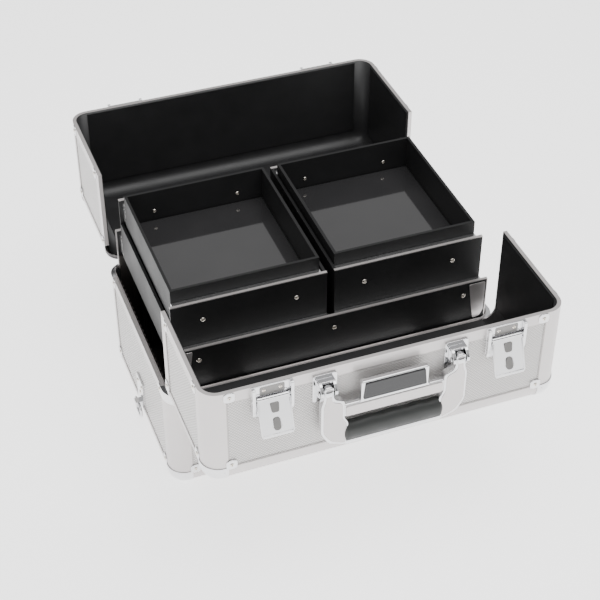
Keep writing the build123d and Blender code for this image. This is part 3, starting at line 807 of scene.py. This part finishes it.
def shut_place(joint_name):
    """Where a front lid joint's pin is while the lid is shut."""
    return swing(-1).inverted() @ Vector(joints[joint_name]["pos_m"])


latch_pin = shut_place("right_latch_flap_hinge")
latch_x = latch_pin.x
latch_half, flap_half, flap_reach = 20 * mm, 16 * mm, 38 * mm
surround_wall = 3.2 * mm
plate_top = case_height + 1.6 * mm
surround_top = latch_pin.z + 1.9 * mm
open_angle = math.radians(160)
side_on = Matrix.Translation((0, 0, plate_top)) @ on_edge


def add_latch_half(mesh, center_x, outer_y, seam_y, cover):
    """One half of the surround: foot plate, side walls with a curved run-down, and the end wall."""
    inward = 1 if seam_y > outer_y else -1
    corner = inward * 5 * mm
    foot = [(center_x - latch_half, seam_y), (center_x - latch_half, outer_y + corner),
            (center_x - latch_half + 1.5 * mm, outer_y + corner * 0.3),
            (center_x - latch_half + 5 * mm, outer_y),
            (center_x + latch_half - 5 * mm, outer_y),
            (center_x + latch_half - 1.5 * mm, outer_y + corner * 0.3),
            (center_x + latch_half, outer_y + corner), (center_x + latch_half, seam_y)]
    add_plate(mesh, foot, case_height - 0.8 * mm, plate_top)
    for end in both_sides:
        inner = center_x + end * (latch_half - surround_wall)
        outer = center_x + end * latch_half
        side_view = [(seam_y, 0), (outer_y + inward * 1.5 * mm, 0), (outer_y + inward * 2.5 * mm, 2.6 * mm),
                     (outer_y + inward * 8 * mm, surround_top - plate_top),
                     (seam_y, surround_top - plate_top)]
        add_plate(mesh, rounded(side_view, 1.5 * mm), min(inner, outer), max(inner, outer), side_on)
    low_y, high_y = sorted((outer_y + inward * 1.5 * mm, outer_y + inward * 5 * mm))
    add_board(mesh, (center_x - latch_half + 1 * mm, low_y, plate_top),
              (center_x + latch_half - 1 * mm, high_y, plate_top + 2.4 * mm))
    if cover:
        low_y, high_y = sorted((outer_y + inward * 4 * mm, cover))
        add_board(mesh, (center_x - flap_half, low_y, plate_top), (center_x + flap_half, high_y,
                                                                   latch_pin.z + 0.4 * mm))


def add_flap(mesh):
    """The flap lying shut: barrel, plate, raised panel, ring round the lock and a rounded lip."""
    x, y, z = latch_pin
    outline = corners(x - flap_half, y + 1 * mm, x + flap_half, y + flap_reach)
    rim_of_lock, lock_y = 5.1 * mm, y + 28 * mm
    plate = rounded(outline, 2.5 * mm)
    add_plate(mesh, plate, z - 1.2 * mm, z + 0.9 * mm)
    inset = 3 * mm
    panel = corners(x - flap_half + inset, y + 5 * mm, x + flap_half - inset, y + flap_reach - 4 * mm)
    add_plate(mesh, rounded(panel, 2 * mm), z + 0.5 * mm, z + 1.5 * mm)
    ring = ((rim_of_lock, 1.1 * mm), (rim_of_lock + 0.1 * mm, 2.1 * mm), (rim_of_lock + 0.9 * mm, 2.3 * mm),
            (rim_of_lock + 1.6 * mm, 1.9 * mm), (rim_of_lock + 1.8 * mm, 1.1 * mm))
    add_turned(mesh, ring, Matrix.Translation((x, lock_y, z)), 28)
    add_bar(mesh, (x - flap_half + 1 * mm, y + flap_reach, z + 0.3 * mm),
            (x + flap_half - 1 * mm, y + flap_reach, z + 0.3 * mm), 1.4 * mm)
    add_bar(mesh, (x - flap_half, y, z), (x + flap_half, y, z), 2 * mm)
    for end in both_sides:
        low, high = sorted((x + end * (flap_half - 0.2 * mm), x + end * (flap_half - 1.6 * mm)))
        add_board(mesh, (low, y + 4 * mm, z - 2 * mm), (high, y + flap_reach - 1 * mm, z - 1 * mm))
    add_board(mesh, (x - flap_half + 1.6 * mm, y + flap_reach - 2 * mm, z - 2 * mm),
              (x + flap_half - 1.6 * mm, y + flap_reach - 0.8 * mm, z - 1 * mm))


def add_cam(mesh):
    """The lock's cam and the spring plate on the flap's inner face."""
    x, y, z = latch_pin
    low, high = z - 2.2 * mm, z - 1.1 * mm
    cam = corners(x - 3.5 * mm, y + 20 * mm, x + 3.5 * mm, y + 33 * mm)
    add_plate(mesh, rounded(cam, 3.4 * mm), low, high)
    spring = [(x - 4.5 * mm, y + 5 * mm), (x + 4.5 * mm, y + 5 * mm), (x + 3.5 * mm, y + 15 * mm),
              (x - 3.5 * mm, y + 15 * mm)]
    add_plate(mesh, rounded(spring, 2 * mm), low + 0.2 * mm, high)


latch_front, latch_back = -36 * mm, 34 * mm
metal, heads = start_mesh(), start_mesh()
for end in both_sides:
    add_latch_half(metal, end * latch_x, latch_front, -0.3 * mm, latch_pin.y - 3 * mm)
    for offset in (-latch_half + 1.6 * mm, latch_half - 1.6 * mm):
        add_bar(metal, (end * latch_x + offset - 2.4 * mm, latch_pin.y, latch_pin.z),
                (end * latch_x + offset + 2.4 * mm, latch_pin.y, latch_pin.z), 1.6 * mm)
    for x_offset, y in ((-8 * mm, -6 * mm), (8 * mm, -6 * mm)):
        add_rivet(heads, (end * latch_x + x_offset, y, plate_top), (0, 0, 1), 0.8)
# Dark patches on the foot plates behind the flap pins: painted shade of the recess that the open flap
# uncovers.
shade_patches = start_mesh()
for end in both_sides:
    shade_patch = corners(end * latch_x - 12 * mm, latch_pin.y + 2.5 * mm, end * latch_x + 12 * mm, -1.5 * mm)
    add_plate(shade_patches, rounded(shade_patch, 2 * mm), plate_top - 0.5 * mm, plate_top + 0.15 * mm)
make_piece("latch_painted_shade_patches", shade_patches, dark_steel_and_painted_shade, "front_lid", swing(-1))
latch_fronts = make_piece("latch_front_halves", metal, chrome, "front_lid", swing(-1), bevel=0.4 * mm)
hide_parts("latch_bases")
make_piece("latch_front_rivets", heads, nickel, "front_lid", swing(-1))

metal, heads = start_mesh(), start_mesh()
for end in both_sides:
    add_latch_half(metal, end * latch_x, latch_back, 0.3 * mm, None)
    hook = [(24.5 * mm, 0), (30 * mm, 0), (29 * mm, 0.8 * mm), (25.5 * mm, 0.8 * mm)]
    add_plate(metal, rounded(hook, 0.3 * mm), end * latch_x - 6 * mm, end * latch_x + 6 * mm, side_on)
    for x_offset in (-8 * mm, 8 * mm):
        add_rivet(heads, (end * latch_x + x_offset, 8 * mm, plate_top), (0, 0, 1), 0.8)
keepers = make_piece("latch_rear_halves", metal, chrome, "rear_lid", swing(1), bevel=0.4 * mm)
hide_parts("latch_keepers")
make_piece("latch_rear_rivets", heads, nickel, "rear_lid", swing(1))

turn_open = Matrix.Translation(latch_pin) @ Matrix.Rotation(open_angle, 4, "X")
turn_open = turn_open @ Matrix.Translation(-latch_pin)
for end, name in ((-1, "left"), (1, "right")):
    metal = start_mesh()
    add_flap(metal)
    across = Matrix.Translation((end * latch_x - latch_x, 0, 0))
    flap = make_piece(f"{name}_flap_pressing", metal, chrome, f"{name}_latch",
                      across @ swing(-1) @ turn_open, bevel=0.35 * mm)
    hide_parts(f"{name}_latch_flap")
    cam = start_mesh()
    add_cam(cam)
    make_piece(f"{name}_flap_cam", cam, dark_steel_and_painted_shade, f"{name}_latch", across @ swing(-1) @ turn_open,
                       bevel=0.2 * mm)

# %% [markdown]
# ## Handle
# The handle is a flat frame of two broad cheeks and a bridge, plated and satin on top, with a soft
# black grip on the bar that the hand closes round. The grip is thicker than the frame and swells
# between the fingers, so it is a loft through oval rings whose size follows a wave. It lies folded on
# the front half of the lid.

# %% Handle frame
handle_pin = shut_place("handle_hinge")
handle_pin.x = 0
bracket_x = 66 * mm
cheek_low, cheek_high = handle_pin.z - 4.2 * mm, handle_pin.z + 4 * mm
bar_y = handle_pin.y - 56 * mm
grip_half = 50 * mm


def cheek_outline(end, inset=0.0):
    """One cheek seen from above, with a margin taken off all round."""
    i = inset
    points = [(61 * mm + i, -13 * mm - i), (71 * mm - i, -13 * mm - i), (71 * mm - i, -29 * mm),
              (73.5 * mm - i, -36 * mm), (73.5 * mm - i, -70 * mm), (66 * mm - i, -84 * mm + i),
              (52 * mm, -89 * mm + i), (46 * mm + i, -89 * mm + i), (46 * mm + i, -62 * mm),
              (50 * mm + i, -56 * mm), (50 * mm + i, -34 * mm - i), (61 * mm + i, -29 * mm - i)]
    points = [(end * x, y) for x, y in points]
    return rounded(points if end > 0 else points[::-1], 4 * mm)


metal, satin = start_mesh(), start_mesh()
for end in both_sides:
    add_plate(metal, cheek_outline(end), cheek_low, cheek_high)
    add_plate(satin, cheek_outline(end, 2.2 * mm), cheek_high - 0.5 * mm, cheek_high + 0.5 * mm)
    add_bar(metal, (end * bracket_x - 5 * mm, handle_pin.y, handle_pin.z),
            (end * bracket_x + 5 * mm, handle_pin.y, handle_pin.z), 6 * mm, 24)
bridge = [(-51 * mm, -55 * mm), (51 * mm, -55 * mm), (51 * mm, -40 * mm), (34 * mm, -40 * mm),
          (34 * mm, -17 * mm),
          (-34 * mm, -17 * mm), (-34 * mm, -40 * mm), (-51 * mm, -40 * mm)]
add_plate(metal, rounded(bridge, 2.5 * mm), handle_pin.z - 2.5 * mm, handle_pin.z + 3.2 * mm)
light_bar = corners(-49 * mm, -54 * mm, 49 * mm, -42 * mm)
add_plate(satin, rounded(light_bar, 2 * mm), handle_pin.z + 2 * mm, handle_pin.z + 4.2 * mm)
add_bar(metal, (-50 * mm, -86 * mm, handle_pin.z + 1.5 * mm), (50 * mm, -86 * mm, handle_pin.z + 1.5 * mm),
        4.6 * mm, 20)
handle_metal = make_piece("handle_plated_frame", metal, chrome, "handle", swing(-1), bevel=1.1 * mm)
handle_metal.modifiers["soft edges"].segments = 3
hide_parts("handle_frame", "handle_bridge")
make_piece("handle_satin_faces", satin, aluminium, "handle", swing(-1), bevel=0.3 * mm)

# %% Inlay and grip
inlay = start_mesh()
plate = [(-32 * mm, -38 * mm), (32 * mm, -38 * mm), (30 * mm, -19 * mm), (-30 * mm, -19 * mm)]
add_plate(inlay, rounded(plate, 1.5 * mm), handle_pin.z + 3 * mm, handle_pin.z + 4.4 * mm)
inlay_piece = make_piece("handle_gloss_plate", inlay, gloss_inlay, "handle", swing(-1), bevel=0.4 * mm)
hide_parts("handle_inlay")


def grip_ring(x):
    """One oval ring of the grip at a place along it, with finger swells and rounded ends."""
    along = x / grip_half
    swell = 1 + 0.05 * math.cos(along * math.pi * 4)
    end_round = math.sqrt(max(0.0, 1 - max(0.0, abs(along) - 0.93) ** 2 / 0.07 ** 2 * 0.6))
    half_y, half_z = 11.2 * mm * swell * end_round, 8.0 * mm * (1 + (swell - 1) * 0.5) * end_round
    return [Vector((x, bar_y + half_y * math.cos(a), handle_pin.z - 0.3 * mm + half_z * math.sin(a)))
            for a in (2 * math.pi * k / 32 for k in range(32))]


grip = start_mesh()
add_loft(grip, [grip_ring(grip_half * (k / 30 - 1)) for k in range(61)])
grip_piece = make_piece("handle_soft_grip", grip, rubber, "handle", swing(-1), smooth=50)
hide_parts("handle_grip")

# %% [markdown]
# ## Handle brackets
# Each end of the handle turns in a chrome bracket: a foot with rounded corners, two ears with round
# tops, a strap across the back and the pin's domed heads outside the ears.

# %% Brackets
bracket_top = case_height + 2 * mm
ear_inner, ear_outer = 5.3 * mm, 8.3 * mm
metal, heads = start_mesh(), start_mesh()
for end in both_sides:
    x = end * bracket_x
    foot = corners(x - 12 * mm, -37 * mm, x + 12 * mm, -5 * mm)
    add_plate(metal, rounded(foot, 3 * mm), case_height - 0.8 * mm, bracket_top)
    ear_view = [(-28 * mm, 0), (-28 * mm, 3 * mm), (-25 * mm, 10 * mm), (-20 * mm, 13 * mm),
                (-15 * mm, 11 * mm),
                (-11 * mm, 7 * mm), (-9 * mm, 0)]
    for ear in both_sides:
        low, high = sorted((x + ear * ear_inner, x + ear * ear_outer))
        add_plate(metal, rounded(ear_view, 3 * mm), low, high,
                  Matrix.Translation((0, 0, bracket_top)) @ on_edge)
        add_bar(metal, (x + ear * ear_outer, handle_pin.y, handle_pin.z),
                (x + ear * (ear_outer + 1.2 * mm), handle_pin.y, handle_pin.z), 2.6 * mm)
    add_board(metal, (x - ear_outer, -12.2 * mm, bracket_top),
              (x + ear_outer, -9.6 * mm, bracket_top + 5.5 * mm))
    add_rivet(heads, (x, -33 * mm, bracket_top), (0, 0, 1), 0.8)
# Dark patches between the ears near the pin: painted shade of the slot between the bracket's cheeks.
shade_patches = start_mesh()
for end in both_sides:
    shade_patch = corners(end * bracket_x - 5 * mm, -15.5 * mm, end * bracket_x + 5 * mm, -11.5 * mm)
    add_plate(shade_patches, shade_patch, bracket_top - 0.5 * mm, bracket_top + 0.2 * mm)
make_piece("handle_bracket_painted_shade_patches", shade_patches, dark_steel_and_painted_shade, "front_lid", swing(-1))
brackets = make_piece("handle_bracket_pressings", metal, chrome, "front_lid", swing(-1), bevel=0.5 * mm)
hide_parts("handle_brackets")
make_piece("handle_bracket_rivets", heads, nickel, "front_lid", swing(-1))

# %% [markdown]
# ## Strap mounts
# Each end of the base has a plate with a lug that holds the strap ring. Three domed rivets fix it to
# the panel.

# %% Strap mount rivets
strap_face = half_length + 1.5 * mm
heads = start_mesh()
for end in both_sides:
    for y, z in ((-7 * mm, 54 * mm), (7 * mm, 54 * mm), (0, 42 * mm)):
        add_rivet(heads, (end * strap_face, y, z), (end, 0, 0), 0.9)
make_piece("strap_mount_rivets", heads, nickel, "base")

# %% [markdown]
# ## Trays
# The trays keep their boards. What they gain is what a hand would feel: a loose glossy sheet on each
# floor and the heads of the screws that hold the slides.

# %% Tray sheets and screws
tray_wall = 3 * mm
sheet_thickness = 0.8 * mm


def add_tray_screws(mesh, low, high, z):
    """Screw heads inside the tray's front and rear boards."""
    for share in (0.2, 0.8):
        x = low.x + (high.x - low.x) * share
        for side in both_sides:
            add_rivet(mesh, (x, side * high.y - side * tray_wall, z), (0, -side, 0), 0.85)


for name in ("left", "right"):
    for level, rise in (("lower", 11 * mm), ("upper", 12 * mm)):
        node = f"{name}_{level}_tray"
        low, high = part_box(node)
        floor_top = low.z + tray_wall
        sheet = start_mesh()
        margin = tray_wall + 1.2 * mm
        outline = rounded(corners(low.x + margin, low.y + margin, high.x - margin, high.y - margin), 3 * mm)
        add_plate(sheet, outline, floor_top + 0.05 * mm, floor_top + sheet_thickness)
        make_piece(f"{node}_floor_sheet", sheet, gloss_sheet, node, bevel=0.15 * mm)
        screws = start_mesh()
        add_tray_screws(screws, low, high, low.z + rise + 3 * mm)
        if level == "lower":
            for share in (0.2, 0.8):
                for side in both_sides:
                    add_rivet(screws, (low.x + (high.x - low.x) * share, side * high.y, high.z - 22 * mm),
                              (0, side, 0))
        heads = make_piece(f"{node}_screws", screws, nickel, node)
        if level == "lower":
            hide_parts(f"{name}_lower_rivets")

# %% [markdown]
# ## Padded dividers
# The dividers in the deep compartment are foam, corrugated on both faces, so that their top edge looks
# knobbly from above. The outline seen from above is a board whose two long sides follow a wave; it is
# raised to height and its edges are rounded.

# %% Dividers
divider_low, divider_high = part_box("dividers")
wave_pitch, divider_thickness = 10 * mm, 9 * mm
long_divider_x = divider_high.x - divider_thickness / 2


def add_divider(mesh, length, place):
    """A corrugated foam board standing on the floor, centred on its place and running along its local X."""
    count = int(length / wave_pitch) * 8
    half = []
    for k in range(count + 1):
        x = length * (k / count - 0.5)
        wave = 0.5 + 0.5 * math.cos(2 * math.pi * x / wave_pitch)
        half.append((x, divider_thickness * (0.25 + 0.25 * wave), wave))
    outline = [(x, -y, wave) for x, y, wave in half] + [(x, y, wave) for x, y, wave in reversed(half)]
    crown, dip = 2.5 * mm, 2.2 * mm
    top = divider_high.z - divider_low.z - crown
    rings = [[place @ Vector((x, y, 0)) for x, y, wave in outline]]
    for rise, shrink in ((0, 1), (0.55, 0.94), (0.85, 0.78), (1, 0.5)):
        rings.append([place @ Vector((x, y * shrink, top + crown * rise - dip * (1 - wave)))
                      for x, y, wave in outline])
    add_loft(mesh, rings)


pads = start_mesh()
gap = 0.4 * mm
for end in both_sides:
    turn = Matrix.Translation((end * long_divider_x, 0, divider_low.z)) @ Matrix.Rotation(math.pi / 2, 4,
                                                                                          "Z")
    add_divider(pads, divider_high.y - divider_low.y, turn)
cross = 2 * (long_divider_x - divider_thickness / 2 + gap)
add_divider(pads, cross, Matrix.Translation((0, 0, divider_low.z)))
divider_piece = make_piece("padded_dividers", pads, foam, "base", smooth=50)
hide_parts("dividers")

# %% [markdown]
# ## Carrier end plates
# A bright angle plate closes each end of the two tray carriers. It is cut with a rounded foot that
# follows the corner of the rim below it.

# %% End plates
metal = start_mesh()
carrier_end = carrier_high.x
for side in both_sides:
    for end in both_sides:
        view = [(end * (carrier_end - 20 * mm), 49 * mm), (end * (carrier_end - 1.5 * mm), 49 * mm),
                (end * (carrier_end - 1.5 * mm), 12 * mm), (end * (carrier_end - 5 * mm), 4 * mm),
                (end * (carrier_end - 13 * mm), 2 * mm), (end * (carrier_end - 16 * mm), 20 * mm)]
        face = facing((0, side * carrier_high.y, seam_height), (0, side, 0))
        face = face @ Matrix.Scale(-side, 4, (1, 0, 0))
        add_plate(metal, rounded(view if end > 0 else view[::-1], 2 * mm), 0.02 * mm, 0.6 * mm, face)
make_piece("carrier_end_plates", metal, aluminium, "base", bevel=0.2 * mm)

# %% [markdown]
# ## Slides
# Each slide is a zinc channel with a bar that runs in it. What shows when a tray is pulled out is the
# inside of the channel: dark strips and flat screws. The bar leaves a gap of only about a third of a
# millimetre, so they stand up less than that, or the bar would cut through them as the tray moves.

# %% Slide details
rail_low, rail_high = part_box("carrier_rails")
slide_web = 1.2 * mm
slide_relief = 0.22 * mm


def add_slide_details(screws, cage, x_low, x_high, web_y, side, z):
    """Screws and a ball cage on the inside of one channel; web_y is the channel's inner face."""
    length = x_high - x_low
    for share in (0.12, 0.5, 0.88):
        head = ((2.3 * mm, -0.2 * mm), (2.3 * mm, slide_relief * 0.5), (1.9 * mm, slide_relief),
                (0.9 * mm, slide_relief), (0.8 * mm, 0.02 * mm))
        add_turned(screws, head, facing((x_low + length * share, web_y, z), (0, -side, 0)), 16)
    for start, stop in ((0.22, 0.40), (0.60, 0.78)):
        edge = sorted((web_y + side * 0.2 * mm, web_y - side * slide_relief))
        add_board(cage, (x_low + length * start, edge[0], z - 1.6 * mm),
                  (x_low + length * stop, edge[1], z + 1.6 * mm))


def make_slide_details(name, body, channels):
    """Screws and cages of the channels that ride on one body."""
    screws, cage = start_mesh(), start_mesh()
    for channel in channels:
        add_slide_details(screws, cage, *channel)
    make_piece(f"{name}_screws", screws, dark_steel_and_painted_shade, body)
    make_piece(f"{name}_ball_cages", cage, dark_steel_and_painted_shade, body, bevel=0.2 * mm)


lower_low, lower_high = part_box("right_lower_tray")
upper_low, upper_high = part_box("right_upper_tray")
carrier_wall = 3 * mm
carrier_face = carrier_high.y - carrier_wall
rail_z = (rail_low.z + rail_high.z) / 2
make_slide_details("carrier_slide", "base", [
    (*sorted((end * lower_low.x, end * lower_high.x)), side * (carrier_face - slide_web), side, rail_z)
    for side in both_sides for end in both_sides])
joiner = start_mesh()
rail_gap = 3.9 * mm
for side in both_sides:
    web = sorted((side * (carrier_face + 0.1 * mm), side * (carrier_face - slide_web)))
    flange = sorted((side * carrier_face, side * min(abs(rail_low.y), carrier_face - 6 * mm)))
    add_board(joiner, (-rail_gap, web[0], rail_low.z), (rail_gap, web[1], rail_high.z))
    for low, high in ((rail_low.z, rail_low.z + slide_web), (rail_high.z - slide_web, rail_high.z)):
        add_board(joiner, (-rail_gap, flange[0], low), (rail_gap, flange[1], high))
make_piece("carrier_rail_joiners", joiner, zinc, "base", bevel=0.2 * mm)
upper_rail_low, upper_rail_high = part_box("right_upper_slides")
upper_z = (upper_rail_low.z + upper_rail_high.z) / 2
for end, name in ((-1, "left"), (1, "right")):
    make_slide_details(f"{name}_tray_slide", f"{name}_lower_tray", [
        (*sorted((end * upper_low.x, end * upper_high.x)), side * (lower_high.y - tray_wall - slide_web),
         side,
         upper_z) for side in both_sides])

# %% [markdown]
# ## Lining boards of the lids
# Thin covered boards are glued on the flat walls of the lid, inside the rounded corners. Their edges
# draw faint lines in the black, which is what makes the empty lid look lined and not painted.

# %% Lining boards
inner_face_y = half_depth - profile_thickness - skin_thickness
inner_face_x = half_length - profile_thickness - skin_thickness
inner_top = case_height - profile_thickness - skin_thickness
board_thickness, board_margin = 1.0 * mm, 15 * mm
for side, lid in ((-1, "front_lid"), (1, "rear_lid")):
    boards = start_mesh()
    x_limit = inner_face_x - board_margin
    y_limit = inner_face_y - board_margin
    z_low, z_high = seam_height + hinge_edge, inner_top - board_margin
    edge = sorted((side * (inner_face_y + 0.2 * mm), side * (inner_face_y - board_thickness)))
    add_board(boards, (-x_limit, edge[0], z_low), (x_limit, edge[1], z_high))
    depth = sorted((side * 2 * mm, side * y_limit))
    add_board(boards, (-x_limit, depth[0], inner_top - board_thickness),
              (x_limit, depth[1], inner_top + 0.2 * mm))
    for end in both_sides:
        across = sorted((end * (inner_face_x + 0.2 * mm), end * (inner_face_x - board_thickness)))
        add_board(boards, (across[0], depth[0], z_low), (across[1], depth[1], z_high))
    make_piece(f"{lid}_lining_boards", boards, lid_vinyl, lid, swing(side), bevel=0.3 * mm)

# %% [markdown]
# ## The stage
# A plain pale floor, a large soft light above and a weaker one from the left give the even, bright look
# of a product table. The world is shaded from top to bottom, because chrome only looks like chrome when
# it has something dark to mirror.

# %% Floor, light and camera
def make_floor():
    """A wide pale floor."""
    bpy.ops.mesh.primitive_plane_add(size=30, location=(0, 0, -0.0002))
    floor = bpy.context.object
    floor.name = "floor"
    material, tree, shader = new_finish("floor_white", (0.93, 0.93, 0.93), 0.0, 0.7)
    shader.inputs["Emission Color"].default_value = (1, 1, 1, 1)
    shader.inputs["Emission Strength"].default_value = 1.7
    floor.data.materials.append(material)


def make_light(name, place, size, power, target=(0, 0, 0.1)):
    """A square soft light that looks at the case."""
    data = bpy.data.lights.new(name, "AREA")
    data.size, data.energy = size, power
    light = bpy.data.objects.new(name, data)
    bpy.context.scene.collection.objects.link(light)
    light.location = place
    light.rotation_euler = (Vector(target) - Vector(place)).to_track_quat("-Z", "Y").to_euler()


def make_world():
    """Shaded with height, so that chrome has something to reflect."""
    world = bpy.data.worlds.new("studio")
    bpy.context.scene.world = world
    world.use_nodes = True
    tree = world.node_tree
    shade = tree.nodes["Background"]
    where = tree.nodes.new("ShaderNodeTexCoord")
    axes = tree.nodes.new("ShaderNodeSeparateXYZ")
    tree.links.new(where.outputs["Generated"], axes.inputs["Vector"])
    ramp = tree.nodes.new("ShaderNodeValToRGB")
    ramp.color_ramp.elements[0].position = 0.02
    ramp.color_ramp.elements[0].color = (0.12, 0.12, 0.12, 1)
    ramp.color_ramp.elements[1].position = 0.55
    ramp.color_ramp.elements[1].color = (1, 1, 1, 1)
    tree.links.new(axes.outputs["Z"], ramp.inputs["Fac"])
    tree.links.new(ramp.outputs["Color"], shade.inputs["Color"])
    shade.inputs["Strength"].default_value = 0.7


def make_camera():
    """The camera at the front left, looking down into the open case."""
    azimuth, elevation, distance = math.radians(-20.4), math.radians(39.7), 1.6
    back = Vector((math.sin(azimuth) * math.cos(elevation), -math.cos(azimuth) * math.cos(elevation),
                   math.sin(elevation)))
    target = (cad_box[0] + cad_box[1]) / 2
    data = bpy.data.cameras.new("camera")
    data.lens, data.sensor_width = 88, 36
    camera = bpy.data.objects.new("camera", data)
    bpy.context.scene.collection.objects.link(camera)
    camera.location = target + back * distance
    camera.rotation_euler = (-back).to_track_quat("-Z", "Y").to_euler()
    bpy.context.scene.camera = camera


make_floor()
make_light("top_light", (0.2, -0.3, 1.8), 1.6, 30)
make_light("left_light", (-1.6, -0.9, 0.9), 1.2, 6)
make_world()
make_camera()
